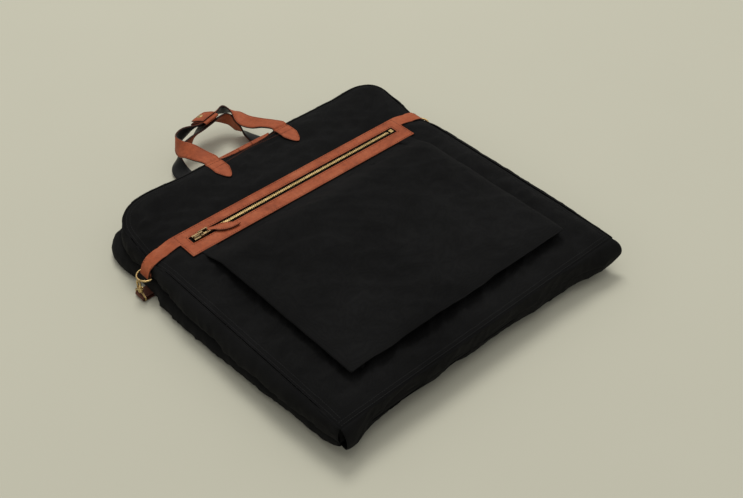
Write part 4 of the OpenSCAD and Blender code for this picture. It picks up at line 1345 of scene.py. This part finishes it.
def hook_tab(side, name):
    """Two layers of leather from the back gusset, folded round the bar of the hook's eye."""
    lo, hi = box_mm(f"{name}_hook_eye")
    bar_x, bar_z = (lo[0] + hi[0]) / 2, 5.2
    out = abs(bar_x)
    path = [(out - 26, 4.6), (out - 20, 3.4), (out - 12, 2.7), (out - 5, 2.6)]
    for a in np.linspace(-90, 90, 9):
        r = 2.75
        path.append((out + r * math.cos(math.radians(a)), bar_z + r * math.sin(math.radians(a))))
    path += [(out - 5, 7.9), (out - 12, 8.0), (out - 20, 8.6), (out - 25, 9.6)]
    path = np.array(path)
    ys = STRAP_Y + np.linspace(-11, 11, 12)
    x = side * np.repeat(path[:, :1], len(ys), 1)
    y = np.repeat(ys[None, :], len(path), 0)
    z = np.repeat(path[:, 1:], len(ys), 1)
    grid = np.dstack([x, y, z]).reshape(-1, 3)
    faces = grid_faces(len(path), len(ys))
    if side > 0:
        faces = [f[::-1] for f in faces]
    attach(make_sheet(f"{name}_tab_leather", grid, faces, 1.35, DARK_LEATHER, EDGE_PAINT),
        "back_half", "dark_leather", f"{name}_hook_tab")
    sewn = Stitches()
    for y0 in (-8.8, 8.8):
        path3 = np.array([(side * u, STRAP_Y + y0, 8.2) for u in np.linspace(out - 16, out - 2, 8)])
        sewn.row(path3, straight_up(8), **TAB_SEWING)
    cross = np.array([(side * (out - 4.5), STRAP_Y + y0, 8.15) for y0 in np.linspace(-8.8, 8.8, 8)])
    sewn.row(cross, straight_up(8), **TAB_SEWING)
    attach(sewn.piece(f"{name}_tab_stitching", THREAD), "back_half", "zip_tape")


hook_tab(-1, "left")
hook_tab(1, "right")


def garment_strap():
    """Elastic strap across the inside of the back half."""
    lo, hi = box_mm("garment_strap")
    xs, ys = np.linspace(lo[0] + 0.5, hi[0] - 0.5, 160), np.linspace(lo[1], hi[1], 14)
    x, y = np.meshgrid(xs, ys)
    ribs = 0.16 * np.sin(x * 2.4) + 0.1 * np.cos((y - lo[1]) * math.pi / 3)
    grid = np.dstack([x, y, hi[2] - 0.3 + ribs]).reshape(-1, 3)
    attach(make_sheet("garment_webbing", grid, grid_faces(len(ys), len(xs)), 1.2, WEBBING),
        "back_half", "webbing", "garment_strap")


garment_strap()


def patch_profile(v):
    """Section of the hanger patch, from low on the top wall (-1) to over its upper edge (1)."""
    steps = [-1.0, -0.5, 0.0, 0.27, 0.5, 0.8, 1.0]
    return (TOP_Y + np.interp(v, steps, [12.5, 14.8, 15.2, 14.2, 11.6, 6.2, 0.8]),
            np.interp(v, steps, [42.0, 48.0, 54.5, 60.5, 65.2, 67.8, 66.4]))


def hanger_patch():
    """Leather plate on the top wall, with a slot for a hanger's hook."""
    lo, hi = box_mm("hanger_port_patch")
    half_l, half_h = (hi[0] - lo[0]) / 2, (hi[2] - lo[2]) / 2
    slot_half = 15.0
    slot_u, slot_v = slot_half / half_l, 3 / half_h
    us = np.unique(np.round(np.concatenate([np.linspace(-1, 1, 61), [-slot_u, slot_u]]), 4))
    vs = np.array([-1, -0.8, -0.5, -slot_v, 0, slot_v, 0.5, 0.8, 1.0])
    rows = []
    for v in vs:
        reach = half_l - half_h + math.sqrt(max(0.0, 1 - v * v)) * half_h
        x = np.where(np.abs(us * half_l) <= slot_half + 0.01, us * half_l, us * reach)
        y, z = patch_profile(v)
        rows.append(np.column_stack([x, 0 * x + y, 0 * x + z]))
    faces = grid_faces(len(vs), len(us), keep=lambda r, c: not (
        abs(us[c] + us[c + 1]) / 2 < slot_u and abs(vs[r] + vs[r + 1]) / 2 < slot_v))
    attach(make_sheet("hanger_patch_leather", np.vstack(rows), [f[::-1] for f in faces], 2.0,
        LEATHER, EDGE_PAINT), "front_half", "leather", "hanger_port_patch")
    sewn = Stitches()
    turn = np.linspace(0, 2 * math.pi, 120)
    c, s = np.cos(turn), np.sin(turn)
    x = np.sign(c) * (half_l - half_h) + c * (half_h - 2.2)
    y, z = patch_profile(s * (1 - 2.2 / half_h))
    y = y + 0.1
    sewn.row(np.column_stack([x, y, z]), np.tile([0.0, 1.0, 0.0], (len(x), 1)), pitch=4.2,
        length=3.0, radius=0.34)
    attach(sewn.piece("hanger_patch_stitching", LEATHER_THREAD), "front_half", "leather")


hanger_patch()


# ---------------------------------------------------------------- hardware kept from the CAD


def finish_node(name, material, round_mm=0.0):
    node = frame["nodes"][name]
    node.data.materials.clear()
    node.data.materials.append(material)
    if round_mm:
        soften(node, round_mm)


for part in ("pocket_teeth_upper", "pocket_teeth_lower"):
    finish_node(part, BRASS, 0.3)
finish_node("pocket_zip_stop", BRASS, 0.6)
finish_node("pocket_slider", OLD_BRASS, 0.5)
finish_node("pocket_pull_link", OLD_BRASS, 0.3)
for side in ("back", "front"):
    finish_node(f"{side}_zip_slider", OLD_BRASS, 0.4)
    finish_node(f"{side}_zip_pull", OLD_BRASS, 0.4)
for side in ("left", "right"):
    for part in ("ring", "hook_eye", "hook", "hook_bolt"):
        finish_node(f"{side}_{part}", BRASS, 0.25)
finish_node("keeper_stud", BRASS, 0.3)
finish_node("keeper_cap", BRASS, 0.4)
finish_node("garment_strap_buckle", BUCKLE, 0.8)


# ---------------------------------------------------------------- camera, floor and light


def studio():
    camera = bpy.data.objects.new("camera", bpy.data.cameras.new("camera"))
    bpy.context.collection.objects.link(camera)
    camera.location = (-0.91428, -1.04208, 1.28391)
    aim = Vector((0.4973, 0.5472, -0.6733))
    camera.rotation_mode = "QUATERNION"
    camera.rotation_quaternion = aim.to_track_quat("-Z", "Y")
    camera.data.lens = 54.9
    camera.data.sensor_width = 36.0
    camera.data.clip_end = 50
    bpy.context.scene.camera = camera

    s = Surface("studio_floor", 0.95)
    s.shader.inputs["Specular IOR Level"].default_value = 0.1
    s.colour(s.ramp(s.noise(3.0, 2.0), [(0.2, (0.575, 0.565, 0.458)),
        (0.8, (0.585, 0.575, 0.467))]))
    mesh = bpy.data.meshes.new("floor")
    reach = 9.0
    mesh.from_pydata([(-reach, -reach, 0), (reach, -reach, 0), (reach, reach, 0),
        (-reach, reach, 0)], [], [(0, 1, 2, 3)])
    floor = bpy.data.objects.new("floor", mesh)
    mesh.materials.append(s.material)
    bpy.context.collection.objects.link(floor)

    world = bpy.data.worlds.new("studio")
    world.use_nodes = True
    world.node_tree.nodes["Background"].inputs["Color"].default_value = (1.0, 0.99, 0.97, 1)
    world.node_tree.nodes["Background"].inputs["Strength"].default_value = 0.42
    bpy.context.scene.world = world

    def softbox(name, place, target, size, power):
        lamp = bpy.data.lights.new(name, "AREA")
        lamp.shape, lamp.size, lamp.size_y, lamp.energy = "RECTANGLE", size[0], size[1], power
        lamp.color = (1.0, 0.985, 0.96)
        box = bpy.data.objects.new(name, lamp)
        box.location = place
        box.rotation_mode = "QUATERNION"
        box.rotation_quaternion = (Vector(target) - Vector(place)).to_track_quat("-Z", "Y")
        bpy.context.collection.objects.link(box)

    softbox("key", (1.6, 2.5, 6.0), (0, 0, 0.03), (2.6, 2.6), 190)
    softbox("top", (-0.5, -0.4, 6.8), (0, 0, 0), (5.0, 5.0), 80)
    bpy.context.scene.view_settings.view_transform = "Standard"


studio()
